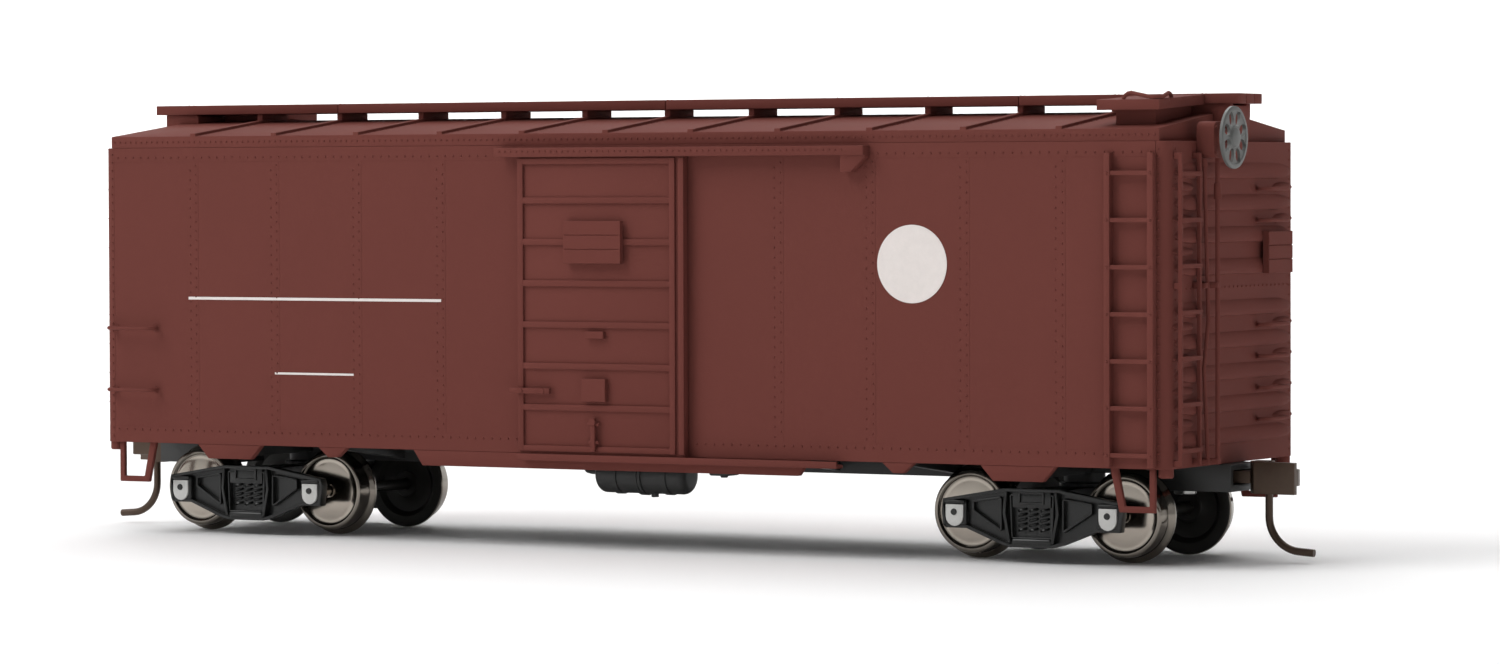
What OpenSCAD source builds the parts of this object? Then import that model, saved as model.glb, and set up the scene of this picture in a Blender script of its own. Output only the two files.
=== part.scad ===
// Model railroad boxcar with sliding doors, swivelling trucks and knuckle couplers.
// Millimetres. X runs along the car towards the brake end, the near side is at -Y,
// and Z = 0 is the plane that the wheel flanges stand on.

/* [Body] */
// Length of the body over its end walls
body_l = 145.2; // [120:0.1:180]
// Width of the body over its side walls
body_w = 34.5; // [31:0.1:41.5]
// Height of the side walls' lower edge
sill_z = 11.25; // [11.1:0.05:13.5]
// Height of the seam between side wall and roof
eave_z = 47.6; // [40:0.1:58]
// Thickness of a side wall
side_t = 1; // [0.8:0.1:1.4]
// Thickness of an end wall
end_t = 1.6; // [1.4:0.1:2]
// Radius of the upright corners
corner_r = 1.4; // [0.8:0.1:1.5]
// Thickness of the floor
floor_t = 1.2; // [1:0.1:2]
// Depth of the pressed ribs on an end wall
end_rib_t = 0.5; // [0.2:0.05:0.6]

/* [Roof] */
// Height of the roof's upright edge
roof_edge = 1.4; // [1:0.1:2]
// Rise of the roof from its edge to its ridge
roof_rise = 2.07; // [0.6:0.01:4]
// Thickness of the roof panels
roof_t = 1; // [0.6:0.1:1.2]
// Distance that each roof end stops short of the body's end
roof_inset = 1.2; // [0.6:0.1:1.4]
// Height of a seam cap above the roof panels
cap_t = 0.35; // [0.2:0.05:0.6]
// Width of a seam cap
cap_w = 0.8; // [0.5:0.1:1.2]
// Distance between the seam caps outside the doorway
panel_pitch = 12; // [10:0.1:14]

/* [Roof walks] */
// Width of the running board
walk_w = 6.5; // [4:0.1:8]
// Thickness of the running board
walk_t = 1.15; // [0.8:0.05:1.6]
// Height of the running board's underside above the roof's ridge
walk_lift = 0.8; // [0.5:0.05:3]
// Distance that the running board passes each end wall
walk_overhang = 2.15; // [1.5:0.05:4]
// Width of a side walk along the car
side_walk_w = 7.7; // [5:0.1:9]
// Distance from a side walk's outer edge to the side of the body
side_walk_inset = 2; // [1:0.1:5]
// Fall of a side walk from the running board to its outer end
side_walk_fall = 0.7; // [0.5:0.05:1.5]

/* [Doors] */
// Width of the doorway
opening_w = 20; // [16:0.1:24]
// Distance that the door laps past each side of the doorway
door_lap = 1.35; // [0.8:0.05:2]
// Thickness of the door's sheet
door_t = 0.7; // [0.5:0.05:1]
// Height of the door's ribs and frame above its sheet
door_rib_t = 0.3; // [0.2:0.05:0.5]
// Height of one door rib
door_rib_h = 0.75; // [0.5:0.05:1]
// Distance between door ribs
door_rib_pitch = 4.87; // [4:0.01:5.5]
// Distance that the door slides
door_travel = 20.3; // [10:0.1:24]
// Thickness of the door tracks' metal
track_t = 0.4; // [0.3:0.05:0.6]
// Gap between the door and everything that it slides past
door_gap = 0.3; // [0.2:0.05:0.4]

/* [Trucks] */
// Distance from each end of the body to its truck's centre
truck_inset = 18.7; // [18.5:0.1:30]
// Distance between the two axles of a truck
wheelbase = 19.26; // [18:0.1:22]
// Diameter of the wheel tread
tread_d = 9.6; // [8:0.1:10]
// Depth of the wheel flange
flange_h = 0.65; // [0.4:0.05:0.8]
// Distance between the backs of the two wheels
back_to_back = 14.4; // [14:0.05:15]
// Width of a wheel's rim with its flange
rim_w = 2.8; // [2:0.1:3]
// Diameter of the axle between the wheels
axle_d = 1.6; // [1.2:0.1:2]
// Diameter of the axle's journals
journal_d = 1; // [0.8:0.05:1.2]
// Distance between the outer faces of the two side frames
frame_over = 28; // [27.5:0.1:30]
// Thickness of a side frame
frame_t = 1.4; // [1.2:0.1:1.8]
// Radial clearance of a shaft in its bearing
run_gap = 0.06; // [0.02:0.01:0.09]
// Diameter of the screw that a truck swivels on
screw_d = 2; // [1.4:0.1:2.4]

/* [Couplers] */
// Height of the couplers' middle
coupler_z = 9.7; // [9.5:0.05:9.8]
// Height of the coupler's head
head_h = 3.6; // [3:0.1:4]
// Thickness of the coupler's shank
shank_t = 1.4; // [1:0.1:1.6]
// Distance from the end wall back to the shank's pivot
pivot_inset = 6; // [5.5:0.1:7]
// Diameter of the curved trip pin
trip_d = 0.85; // [0.5:0.05:0.9]

/* [Hidden] */
$fn = 48;
half_l = body_l / 2;
half_w = body_w / 2;
axle_z = tread_d / 2 + flange_h;
inner_y = half_w - side_t;
inner_x = half_l - end_t;
floor_z = sill_z + 0.35;
ridge_z = eave_z + roof_edge + roof_rise;
roof_end = half_l - roof_inset;
walk_z = ridge_z + walk_lift;
truck_x = half_l - truck_inset;
wire = 0.5;
END_NAMES = ["a", "b"];
SIDE_NAMES = ["near", "far"];
AXLE_NAMES = ["inner", "outer"];

// Colours of the car's finishes
freight_brown = [0.44, 0.24, 0.22];
underframe_black = [0.11, 0.11, 0.11];
truck_black = [0.15, 0.15, 0.15];
wheel_steel = [0.32, 0.31, 0.3];
coupler_brown = [0.2, 0.15, 0.12];
wheel_grey = [0.47, 0.45, 0.44];
bare_steel = [0.55, 0.55, 0.56];

// Both sides and both ends are the same piece, turned half a turn about Z
module turned(far) {
    rotate([0, 0, far ? 180 : 0]) children();
}

// A box from its lowest to its highest corner
module block(low, high) {
    translate(low) cube(high - low);
}

// An outline in X and Z, extruded along Y from y1 to y2
module plate_xz(y1, y2) {
    translate([0, y2, 0]) rotate([90, 0, 0]) linear_extrude(y2 - y1) children();
}

// An outline in Y and Z, extruded along X from x1 to x2
module plate_yz(x1, x2) {
    translate([x1, 0, 0]) rotate([90, 0, 90]) linear_extrude(x2 - x1) children();
}

// Body shell --------------------------------------------------------------

opening_z1 = sill_z + 1.4;
opening_z2 = eave_z - 2.8;

module side_wall(far) {
    color(freight_brown) turned(far) difference() {
        block([-inner_x, -half_w, sill_z], [inner_x, -inner_y, eave_z]);
        block([-opening_w / 2, -half_w - 1, opening_z1], [opening_w / 2, -inner_y + 1, opening_z2]);
    }
}

// Lower edges of the pressed ribs: an upper group under the eave, and a lower group
// that fills the height between the sill and the flat band under the upper group
rib_h = 1.9;
rib_inset = 1.7;
flat_band = 2.8;
lower_ribs = 5;
upper_ribs = 4;
upper_rib_pitch = 3.6;
upper_rib_z = eave_z - 15;
lower_rib_z = sill_z + 2.25;
lower_rib_pitch = (upper_rib_z - flat_band - rib_h - lower_rib_z) / (lower_ribs - 1);
RIB_LINES = concat([for (i = [0:lower_ribs - 1]) lower_rib_z + i * lower_rib_pitch],
                   [for (i = [0:upper_ribs - 1]) upper_rib_z + i * upper_rib_pitch]);

module end_rib() {
    rotate([90, 0, 0]) linear_extrude(body_w - 2 * rib_inset, center = true)
        polygon([[-0.2, 0], [0, 0], [end_rib_t, 0.25], [end_rib_t, 1], [0, rib_h], [-0.2, rib_h]]);
}

module end_wall(far) {
    color(freight_brown) turned(far) {
        difference() {
            union() {
                block([inner_x, -half_w + corner_r, sill_z], [half_l, half_w - corner_r, eave_z]);
                block([inner_x, -half_w, sill_z], [half_l - corner_r, half_w, eave_z]);
                for (s = [-1, 1])
                    translate([half_l - corner_r, s * (half_w - corner_r), sill_z])
                        cylinder(r = corner_r, h = eave_z - sill_z);
            }
            block([inner_x - corner_r, -half_w - 1, sill_z - 1], [inner_x, half_w + 1, eave_z + 1]);
        }
        for (z = RIB_LINES) translate([half_l, 0, z]) end_rib();
    }
}

// Height of the roof's outer surface at a distance y from the middle
function roof_z(y) = ridge_z - roof_rise * abs(y) / half_w;

// Places of the roof's seam caps along the car, which end short of the side walks' blocks
door_panel = 11.55;
side_walk_x1 = half_l - 9.8;
walk_block_x1 = side_walk_x1 + 1.3;
outer_panels = floor((walk_block_x1 - cap_w - 2 * door_panel) / panel_pitch);
function seam_places() = concat(
    [0],
    [for (s = [-1, 1], i = [1, 2]) s * i * door_panel],
    [for (s = [-1, 1], i = [1:outer_panels]) s * (2 * door_panel + i * panel_pitch)]);

module roof_section(lift) {
    polygon([[-half_w, eave_z], [-half_w, roof_z(half_w) + lift], [0, ridge_z + lift],
             [half_w, roof_z(half_w) + lift], [half_w, eave_z]]);
}

module roof() {
    color(freight_brown) {
        difference() {
            plate_yz(-roof_end, roof_end) roof_section(0);
            plate_yz(-roof_end + roof_t, roof_end - roof_t)
                polygon([[-inner_y, eave_z - 1], [-inner_y, roof_z(half_w) - roof_t],
                         [0, ridge_z - roof_t], [inner_y, roof_z(half_w) - roof_t],
                         [inner_y, eave_z - 1]]);
        }
        for (x = seam_places(), s = [-1, 1])
            plate_yz(x - cap_w / 2, x + cap_w / 2)
                polygon([[0, ridge_z - 0.1], [0, ridge_z + cap_t],
                         [s * half_w, roof_z(half_w) + cap_t], [s * half_w, roof_z(half_w) - 0.1]]);
    }
}

module car_floor() {
    color(underframe_black)
        block([-inner_x, -inner_y, floor_z], [inner_x, inner_y, floor_z + floor_t]);
}

weight_size = [110, 27, 2.4];
module weight_block() {
    color(bare_steel)
        translate([-weight_size.x / 2, -weight_size.y / 2, floor_z + floor_t]) cube(weight_size);
}

// Underframe --------------------------------------------------------------

sill_half = 2.2;
sill_bottom = floor_z - 2.7;
bolster_bottom = floor_z - 1.8;
bolster_half = 2.2;
bolster_end = inner_y - 1;
boss_r = 2.4;
plate_top = axle_z + 3.1;
plate_gap = 0.06;
coupler_box_rear = half_l - pivot_inset - 3.2;

module centre_sill() {
    color(underframe_black) difference() {
        union() {
            block([-truck_x + 8, -sill_half, sill_bottom], [truck_x - 8, sill_half, floor_z]);
            block([-coupler_box_rear, -sill_half, bolster_bottom], [coupler_box_rear, sill_half, floor_z]);
            for (s = [-1, 1])
                translate([s * truck_x, 0, plate_top + plate_gap])
                    cylinder(r = boss_r, h = floor_z - plate_top - plate_gap);
        }
        for (s = [-1, 1])
            translate([s * truck_x, 0, plate_top - 1]) cylinder(d = screw_d, h = floor_z - plate_top + 0.5);
    }
}

module body_bolsters() {
    color(underframe_black)
        for (e = [-1, 1], s = [-1, 1])
            block([e * truck_x - bolster_half, s > 0 ? boss_r + 0.05 : -bolster_end, bolster_bottom],
                  [e * truck_x + bolster_half, s > 0 ? bolster_end : -boss_r - 0.05, floor_z]);
}

bearer_half = 0.6;
jack_x = 38.7;
inner_bearer_x = 22.5;
module cross_bearers() {
    color(underframe_black)
        for (x = [-jack_x, -inner_bearer_x, inner_bearer_x, jack_x], s = [-1, 1])
            plate_yz(x - bearer_half, x + bearer_half)
                polygon([[s * sill_half, floor_z], [s * bolster_end, floor_z],
                         [s * bolster_end, floor_z - 0.7], [s * sill_half, sill_bottom + 0.3]]);
}

// One hanging plate of the side sill, flush with the side and with slanted ends
module sill_plate(x1, x2, slant, depth) {
    plate_xz(-half_w, -inner_y)
        polygon([[x1, sill_z], [x1 + slant, sill_z - depth], [x2 - slant, sill_z - depth], [x2, sill_z]]);
}

sill_reach = 27;
module side_sills() {
    color(freight_brown) for (far = [false, true]) turned(far) {
        sill_plate(-sill_reach, sill_reach, 1.3, 1.85);
        for (s = [-1, 1]) {
            sill_plate(s * truck_x - 4.7, s * truck_x + 4.7, 1.6, 1.75);
            sill_plate(s * jack_x - 2.05, s * jack_x + 2.05, 1.4, 1.2);
        }
    }
}

// Roof walks --------------------------------------------------------------

walk_half = half_l + walk_overhang;
module running_board() {
    color(freight_brown)
        block([-walk_half, -walk_w / 2, walk_z], [walk_half, walk_w / 2, walk_z + walk_t]);
}

saddle_half = walk_w / 2 - 0.4;
bracket_out = walk_overhang - 1.3;
bracket_top = walk_z - 0.2;
module walk_saddles() {
    color(freight_brown) {
        for (x = seam_places())
            plate_yz(x - cap_w / 2, x + cap_w / 2)
                polygon([[-saddle_half, roof_z(saddle_half) + cap_t], [0, ridge_z + cap_t],
                         [saddle_half, roof_z(saddle_half) + cap_t],
                         [saddle_half, walk_z], [-saddle_half, walk_z]]);
        // Bracket that carries each overhanging end
        for (far = [false, true]) turned(far) {
            plate_xz(-saddle_half, saddle_half)
                polygon([[half_l, eave_z - 1.6], [half_l, eave_z], [roof_end, eave_z],
                         [roof_end, bracket_top], [half_l + bracket_out, bracket_top],
                         [half_l + bracket_out, bracket_top - 1], [half_l + 0.5, eave_z - 1.6]]);
            plate_yz(roof_end - 2.9, roof_end)
                polygon([[-saddle_half, roof_z(saddle_half)], [0, ridge_z], [saddle_half, roof_z(saddle_half)],
                         [saddle_half, bracket_top], [-saddle_half, bracket_top]]);
            for (s = [-1, 1])
                block([roof_end - 2.7, s * (saddle_half - 0.5) - 0.5, bracket_top],
                      [half_l + bracket_out, s * (saddle_half - 0.5) + 0.5, walk_z]);
        }
    }
}

side_walk_x2 = side_walk_x1 + side_walk_w;
side_walk_y = half_w - side_walk_inset;
side_walk_t = walk_t;
function side_walk_z(y) = walk_z - 0.1 - side_walk_fall * (abs(y) - walk_w / 2) / (side_walk_y - walk_w / 2);

module side_walks() {
    block_y1 = walk_w / 2 + 0.2;
    block_y2 = side_walk_y - 2.3;
    color(freight_brown) for (far = [false, true]) turned(far) {
        plate_yz(side_walk_x1, side_walk_x2)
            polygon([[-side_walk_y, side_walk_z(side_walk_y)], [-walk_w / 2, side_walk_z(walk_w / 2)],
                     [-walk_w / 2, side_walk_z(walk_w / 2) + side_walk_t],
                     [-side_walk_y, side_walk_z(side_walk_y) + side_walk_t]]);
        // Block between the side walk and the roof
        plate_yz(walk_block_x1, side_walk_x2 - 1.5)
            polygon([[-block_y2, roof_z(block_y2)], [-block_y1, roof_z(block_y1)],
                     [-block_y1, side_walk_z(block_y1) + 0.1], [-block_y2, side_walk_z(block_y2) + 0.1]]);
    }
}

// Doors -------------------------------------------------------------------

door_half = opening_w / 2 + door_lap;
door_back = half_w + door_gap;
door_face = door_back + door_t;
door_crest = door_face + door_rib_t;
lip_y = door_face + door_gap;
track_out = lip_y + track_t;
upper_track_z = eave_z - 0.3;
upper_lip = 1.1;
door_top = upper_track_z - track_t - door_gap;
lower_track_z = sill_z - 0.8;
door_bottom = lower_track_z + track_t + door_gap;
frame_top = upper_track_z - upper_lip - 0.15;
frame_bottom = door_bottom + 0.4;
stile_w = 0.75;
rail_h = 0.7;
door_ribs = floor((frame_top - frame_bottom - rail_h) / door_rib_pitch);
stop_gap = 0.35;
stop_w = 3.2;

module door(far) {
    color(freight_brown) turned(far) {
        block([-door_half, -door_face, door_bottom], [door_half, -door_back, door_top]);
        difference() {
            block([-door_half, -door_crest, frame_bottom], [door_half, -door_face + 0.1, frame_top]);
            block([-door_half + stile_w, -door_crest - 1, frame_bottom + rail_h],
                  [door_half - 2 * stile_w - 0.45, -door_face, frame_top - rail_h]);
            // Groove between the door's stile and its edge angle
            block([door_half - stile_w - 0.45, -door_crest - 1, frame_bottom - 1],
                  [door_half - stile_w, -door_face, frame_top + 1]);
        }
        for (i = [1:door_ribs])
            block([-door_half + stile_w - 0.1, -door_crest, frame_bottom + rail_h + i * door_rib_pitch - door_rib_h],
                  [door_half - 2 * stile_w - 0.35, -door_face + 0.1,
                   frame_bottom + rail_h + i * door_rib_pitch]);
    }
}

function rib_top(i) = frame_bottom + rail_h + i * door_rib_pitch;

module door_boards(far) {
    board_t = 0.7;
    color(freight_brown) turned(far) {
        // Placard board across a rib
        block([-4.6, -door_crest - board_t, rib_top(5) - 2.9], [3.2, -door_crest, rib_top(5) + 2.1]);
        // Route card board on the sheet
        block([-2.35, -door_face - board_t, rib_top(1) + 0.4], [0.9, -door_face, rib_top(1) + 3.1]);
        // Small card holder
        block([-1.9, -door_face - 0.6, rib_top(3) - door_rib_h - 1.2],
              [0.6, -door_face, rib_top(3) - door_rib_h - 0.35]);
    }
}

module door_latch(far) {
    latch_z = rib_top(1) + 1.2;
    color(freight_brown) turned(far) {
        block([-door_half - 1, -door_crest - 0.45, latch_z], [-door_half + 4.6, -door_crest, latch_z + 0.7]);
        block([-1.1, -door_crest - 0.5, frame_bottom + 0.1], [-0.5, -door_crest, frame_bottom + 4.1]);
    }
}

module upper_door_tracks() {
    track_x1 = -door_half - 3.05;
    stop_x = door_half + door_travel + stop_gap;
    color(freight_brown) for (far = [false, true]) turned(far) {
        plate_yz(track_x1, stop_x + stop_w)
            polygon([[-half_w, upper_track_z], [-half_w, upper_track_z - track_t],
                     [-lip_y, upper_track_z - track_t], [-lip_y, upper_track_z - upper_lip],
                     [-track_out, upper_track_z - upper_lip], [-track_out, upper_track_z]]);
        // Stop at the track's open end
        plate_xz(-lip_y, -half_w)
            polygon([[stop_x, upper_track_z - track_t + 0.1], [stop_x + stop_w, upper_track_z - track_t + 0.1],
                     [stop_x + stop_w, upper_track_z - 1.3], [stop_x + 1.4, upper_track_z - 3],
                     [stop_x, upper_track_z - 3]]);
    }
}

module lower_door_tracks() {
    color(freight_brown) for (far = [false, true]) turned(far)
        plate_yz(-door_half, door_half + door_travel)
            polygon([[-half_w, lower_track_z], [-track_out, lower_track_z], [-track_out, sill_z],
                     [-lip_y, sill_z], [-lip_y, lower_track_z + track_t],
                     [-half_w, lower_track_z + track_t]]);
}

// Ladders, grab irons and steps -------------------------------------------

ladder_w = 6;
ladder_rail = 0.7;
ladder_x2 = half_l - 1.5;
ladder_top = eave_z - 1.3;
rung_pitch = 5.22;
rung_first = sill_z + 1.5;
rungs = floor((ladder_top - rung_first) / rung_pitch);
ladder_t = 1;
ladder_z1 = sill_z + 0.25;

module side_ladders() {
    color(freight_brown) for (far = [false, true]) turned(far) {
        for (x = [ladder_x2 - ladder_w, ladder_x2 - ladder_rail])
            block([x, -half_w - ladder_t, ladder_z1], [x + ladder_rail, -half_w, ladder_top]);
        for (i = [0:rungs])
            block([ladder_x2 - ladder_w, -half_w - ladder_t + 0.1, rung_first + i * rung_pitch - wire / 2],
                  [ladder_x2, -half_w - ladder_t + 0.1 + wire, rung_first + i * rung_pitch + wire / 2]);
    }
}

end_ladder_y1 = half_w - 1.2;
end_ladder_w = 5.4;
standoff = end_rib_t + 0.05;
end_rail = 0.45;
end_ladder_out = standoff + end_rail;
mid_band_z = upper_rib_z - 1.4;

module end_ladders() {
    color(freight_brown) for (far = [false, true]) turned(far) {
        for (y = [end_ladder_y1, end_ladder_y1 - end_ladder_w + end_rail]) {
            block([half_l + standoff, -y, ladder_z1], [half_l + end_ladder_out, -y + end_rail, ladder_top]);
            // Feet on the flat bands of the end wall
            for (z = [ladder_z1, mid_band_z, ladder_top - 0.7])
                block([half_l, -y, z], [half_l + standoff + 0.1, -y + end_rail, z + 0.7]);
        }
        for (i = [0:rungs])
            block([half_l + standoff + 0.1, -end_ladder_y1, rung_first + 0.5 + i * (rung_pitch - 0.1) - wire / 2],
                  [half_l + end_ladder_out + 0.1, -end_ladder_y1 + end_ladder_w,
                   rung_first + 0.5 + i * (rung_pitch - 0.1) + wire / 2]);
    }
}

// A handrail along X from x1 to x2 at height z, standing off the near side
grab_out = 0.9;
module side_grab(x1, x2, z) {
    block([x1, -half_w - grab_out - wire, z - wire / 2], [x2, -half_w - grab_out, z + wire / 2]);
    for (x = [x1, x2 - wire])
        block([x, -half_w - grab_out - 0.1, z - wire / 2], [x + wire, -half_w, z + wire / 2]);
}

module end_grab(y1, y2, z) {
    block([half_l + grab_out, y1, z - wire / 2], [half_l + grab_out + wire, y2, z + wire / 2]);
    for (y = [y1, y2 - wire])
        block([half_l, y, z - wire / 2], [half_l + grab_out + 0.1, y + wire, z + wire / 2]);
}

// Corner handrail on top of a side walk
module walk_grab() {
    inset = 0.6;
    top = side_walk_z(side_walk_y - inset - wire) + side_walk_t;
    x1 = side_walk_x1 + inset;
    x2 = side_walk_x2 - inset;
    y1 = -side_walk_y + inset;
    rail_z = top + 0.5;
    block([x1, y1, rail_z], [x2, y1 + wire, rail_z + wire]);
    for (x = [x1, x2 - wire])
        block([x, y1, top], [x + wire, y1 + wire, rail_z + 0.1]);
}

grab_steps = [for (i = [0, 1]) sill_z + 6.55 + i * 7.6];
end_grab_lines = concat([for (i = [0:lower_ribs - 2]) lower_rib_z + 2.45 + i * lower_rib_pitch],
                        [for (i = [1, 2]) upper_rib_z + 2.45 + i * upper_rib_pitch]);
module grab_irons() {
    color(freight_brown) for (far = [false, true]) turned(far) {
        for (z = grab_steps) side_grab(-half_l + 1.6, -half_l + 8, z);
        for (z = end_grab_lines) end_grab(half_w - 11.1, half_w - 5.2, z);
        walk_grab();
    }
}

// One stirrup step: a strap bent down from the sill, its legs at x1 and x2
strap_w = 0.7;
step_depth = 4.9;
module stirrup(x1, x2, low1, low2) {
    plate_xz(-half_w + 0.4, -half_w + 1) difference() {
        polygon([[x1, sill_z], [x1 + low1, sill_z - step_depth], [x2 - low2, sill_z - step_depth], [x2, sill_z]]);
        polygon([[x1 + strap_w, sill_z + 1], [x1 + low1 + strap_w, sill_z - step_depth + strap_w],
                 [x2 - low2 - strap_w, sill_z - step_depth + strap_w], [x2 - strap_w, sill_z + 1]]);
    }
}

module stirrup_steps() {
    color(freight_brown) for (far = [false, true]) turned(far) {
        stirrup(half_l - 7.4, half_l - 1.9, 1.1, 0);
        stirrup(-half_l + 1.9, -half_l + 7.4, 0, 1.1);
    }
}

module poling_pockets() {
    color(freight_brown)
        for (s = [-1, 1], t = [-1, 1])
            translate([s * (half_l - 0.95), t * (half_w - 1.3), sill_z - 1]) cylinder(r = 0.85, h = 1);
}

// Brake gear --------------------------------------------------------------

brake_y = -half_w + 9;
brake_wheel_z = eave_z + 0.4;
brake_wheel_d = 7;
brake_wheel_x = half_l + 3.4;
housing_out = 2.2;

module brake_housing() {
    color(freight_brown) {
        block([half_l, brake_y - 1.8, eave_z - 1.9], [half_l + housing_out, brake_y + 1.8, eave_z + 2.2]);
        translate([half_l + housing_out, brake_y, brake_wheel_z]) rotate([0, 90, 0])
            cylinder(d = 1.2, h = brake_wheel_x - half_l - housing_out);
    }
}

module brake_wheel() {
    spoke_holes = 8;
    color(wheel_grey) translate([brake_wheel_x, brake_y, brake_wheel_z]) rotate([0, 90, 0]) {
        difference() {
            union() {
                cylinder(d = brake_wheel_d, h = 0.6);
                cylinder(d = 2, h = 0.9);
            }
            for (i = [0:spoke_holes - 1]) rotate([0, 0, (i + 0.5) * 360 / spoke_holes])
                translate([2.25, 0, -1]) cylinder(d = 1.3, h = 3);
        }
    }
}

rod_r = 0.3;
rod_x = half_l + 1.5;
module brake_rod() {
    color(freight_brown) {
        translate([rod_x, brake_y, ladder_z1]) cylinder(r = rod_r, h = eave_z - 1.9 - ladder_z1);
        // Guide brackets on the flat bands of the end wall
        for (z = [ladder_z1, mid_band_z])
            block([half_l, brake_y - 0.5, z], [rod_x + 0.55, brake_y + 0.5, z + 0.7]);
    }
}

module retainer_pipe() {
    pipe_x = half_l + 1;
    pipe_y = brake_y - 1.75;
    shift = 0.9;
    shift_z = mid_band_z - 3.6;
    color(freight_brown) {
        block([pipe_x - 0.25, pipe_y - 0.25, mid_band_z], [pipe_x + 0.25, pipe_y + 0.25, ladder_top - 1]);
        plate_yz(pipe_x - 0.25, pipe_x + 0.25)
            polygon([[pipe_y - 0.25, mid_band_z], [pipe_y - 0.25, shift_z],
                     [pipe_y - 0.25 + shift, shift_z - 5.3], [pipe_y - 0.25 + shift, ladder_z1],
                     [pipe_y + 0.25 + shift, ladder_z1], [pipe_y + 0.25 + shift, shift_z - 5.3],
                     [pipe_y + 0.25, shift_z], [pipe_y + 0.25, mid_band_z]]);
        block([half_l, pipe_y - 0.25, mid_band_z], [pipe_x, pipe_y + 0.25, mid_band_z + 0.6]);
        block([half_l, pipe_y - 0.25 + shift, ladder_z1], [pipe_x, pipe_y + 0.25 + shift, ladder_z1 + 0.6]);
    }
}

module end_boards() {
    color(freight_brown) for (far = [false, true]) turned(far)
        block([half_l + end_rib_t, half_w - 10.2, upper_rib_z], [half_l + end_rib_t + 0.8, half_w - 3.5, upper_rib_z + 4.8]);
}

// Air tank under the near side, with the two saddles that hang it from the floor
tank_r = 2.2;
tank_half = 6.2;
tank_y = -9;
tank_z = floor_z - 3.1;
module air_reservoir() {
    color(underframe_black) {
        translate([0.6, tank_y, tank_z]) rotate([0, 90, 0])
            cylinder(r = tank_r, h = 2 * tank_half - 1.6, center = true);
        translate([0.6, tank_y, tank_z]) rotate([0, 90, 0])
            cylinder(r = tank_r - 0.5, h = 2 * tank_half, center = true);
        translate([0.6, tank_y, tank_z]) rotate([0, 90, 0])
            cylinder(r = tank_r + 0.25, h = 0.5, center = true);
        for (x = [-3.2, 3.6])
            block([x, tank_y - 1.2, tank_z + 1], [x + 1.2, tank_y + 1.2, floor_z]);
    }
}

module brake_cylinder() {
    color(underframe_black) {
        translate([-18, 8, floor_z - 2.6]) rotate([0, 90, 0]) cylinder(r = 1.7, h = 7);
        translate([-11.6, 8, floor_z - 2.6]) rotate([0, 90, 0]) cylinder(r = 2.1, h = 0.8);
        translate([-11, 8, floor_z - 2.6]) rotate([0, 90, 0]) cylinder(r = 0.4, h = 4);
        block([-16.6, 7.1, floor_z - 1.4], [-12.8, 8.9, floor_z]);
    }
}

module control_valve() {
    color(underframe_black) {
        block([9.9, tank_y - 1.4, floor_z - 2.9], [12.6, tank_y + 1.4, floor_z]);
        block([10.4, tank_y - 1.9, floor_z - 2.3], [12.1, tank_y + 1.9, floor_z - 0.6]);
    }
}

// Couplers ----------------------------------------------------------------

pivot_x = half_l - pivot_inset;
box_half = 3.8;
box_wall = 0.7;
cavity_gap = 0.15;
post_r = 1.2;
box_front = half_l + 1.4;
box_top = sill_z - 0.05;
box_bottom = coupler_z - shank_t / 2 - cavity_gap - 0.75;

module coupler_boxes() {
    cavity_low = coupler_z - shank_t / 2 - cavity_gap;
    cavity_high = coupler_z + shank_t / 2 + cavity_gap;
    color(underframe_black) for (far = [false, true]) turned(far) difference() {
        union() {
            difference() {
                union() {
                    block([coupler_box_rear, -box_half, box_bottom], [box_front, box_half, box_top]);
                    block([coupler_box_rear, -box_half, box_top - 0.5], [inner_x, box_half, floor_z]);
                }
                block([coupler_box_rear + box_wall, -box_half + box_wall, cavity_low],
                      [box_front + 1, box_half - box_wall, cavity_high]);
            }
            translate([pivot_x, 0, cavity_low - 0.2]) cylinder(r = post_r, h = cavity_high - cavity_low + 0.4);
        }
        translate([pivot_x, 0, box_bottom - 1]) cylinder(r = 0.7, h = floor_z - box_bottom + 0.5);
    }
}

module coupler_box_screws() {
    color(bare_steel) for (far = [false, true]) turned(far)
        translate([pivot_x, 0, box_bottom - 0.6]) {
            cylinder(r = 1.3, h = 0.6);
            cylinder(r = 0.7, h = 3.2);
        }
}

// Places on the coupler, from its shank's pivot
head_rear = pivot_inset + 2.1;
hinge_x = pivot_inset + 4;
hinge_y = 0.9;
ear_t = 0.75;
knuckle_gap = 0.1;
barrel_r = 1;

module coupler(far) {
    color(coupler_brown) turned(far) translate([pivot_x, 0, coupler_z]) difference() {
        union() {
            block([0, -1.2, -shank_t / 2], [head_rear + 0.5, 1.2, shank_t / 2]);
            cylinder(r = 2, h = shank_t, center = true);
            // Head, with its guard arm opposite the knuckle
            linear_extrude(head_h, center = true)
                polygon([[head_rear, 2.1], [head_rear, 0], [head_rear + 1.3, -2.1], [hinge_x + 4.5, -2.4],
                         [hinge_x + 4.5, -1.6], [hinge_x + 0.9, -0.9], [hinge_x + 0.2, -0.3], [hinge_x + 0.2, 2.1]]);
        }
        cylinder(r = post_r + run_gap, h = head_h + 1, center = true);
        // Room for the knuckle between the two ears
        translate([hinge_x, hinge_y, 0])
            cylinder(r = barrel_r + knuckle_gap + 0.1, h = head_h - 2 * ear_t, center = true);
        block([hinge_x - 0.6, hinge_y, -head_h / 2 + ear_t], [hinge_x + 1, 3, head_h / 2 - ear_t]);
        // Bearing of the trip pin
        translate([hinge_x, hinge_y, 0]) cylinder(d = trip_d + 2 * run_gap, h = head_h + 1, center = true);
    }
}

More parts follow.
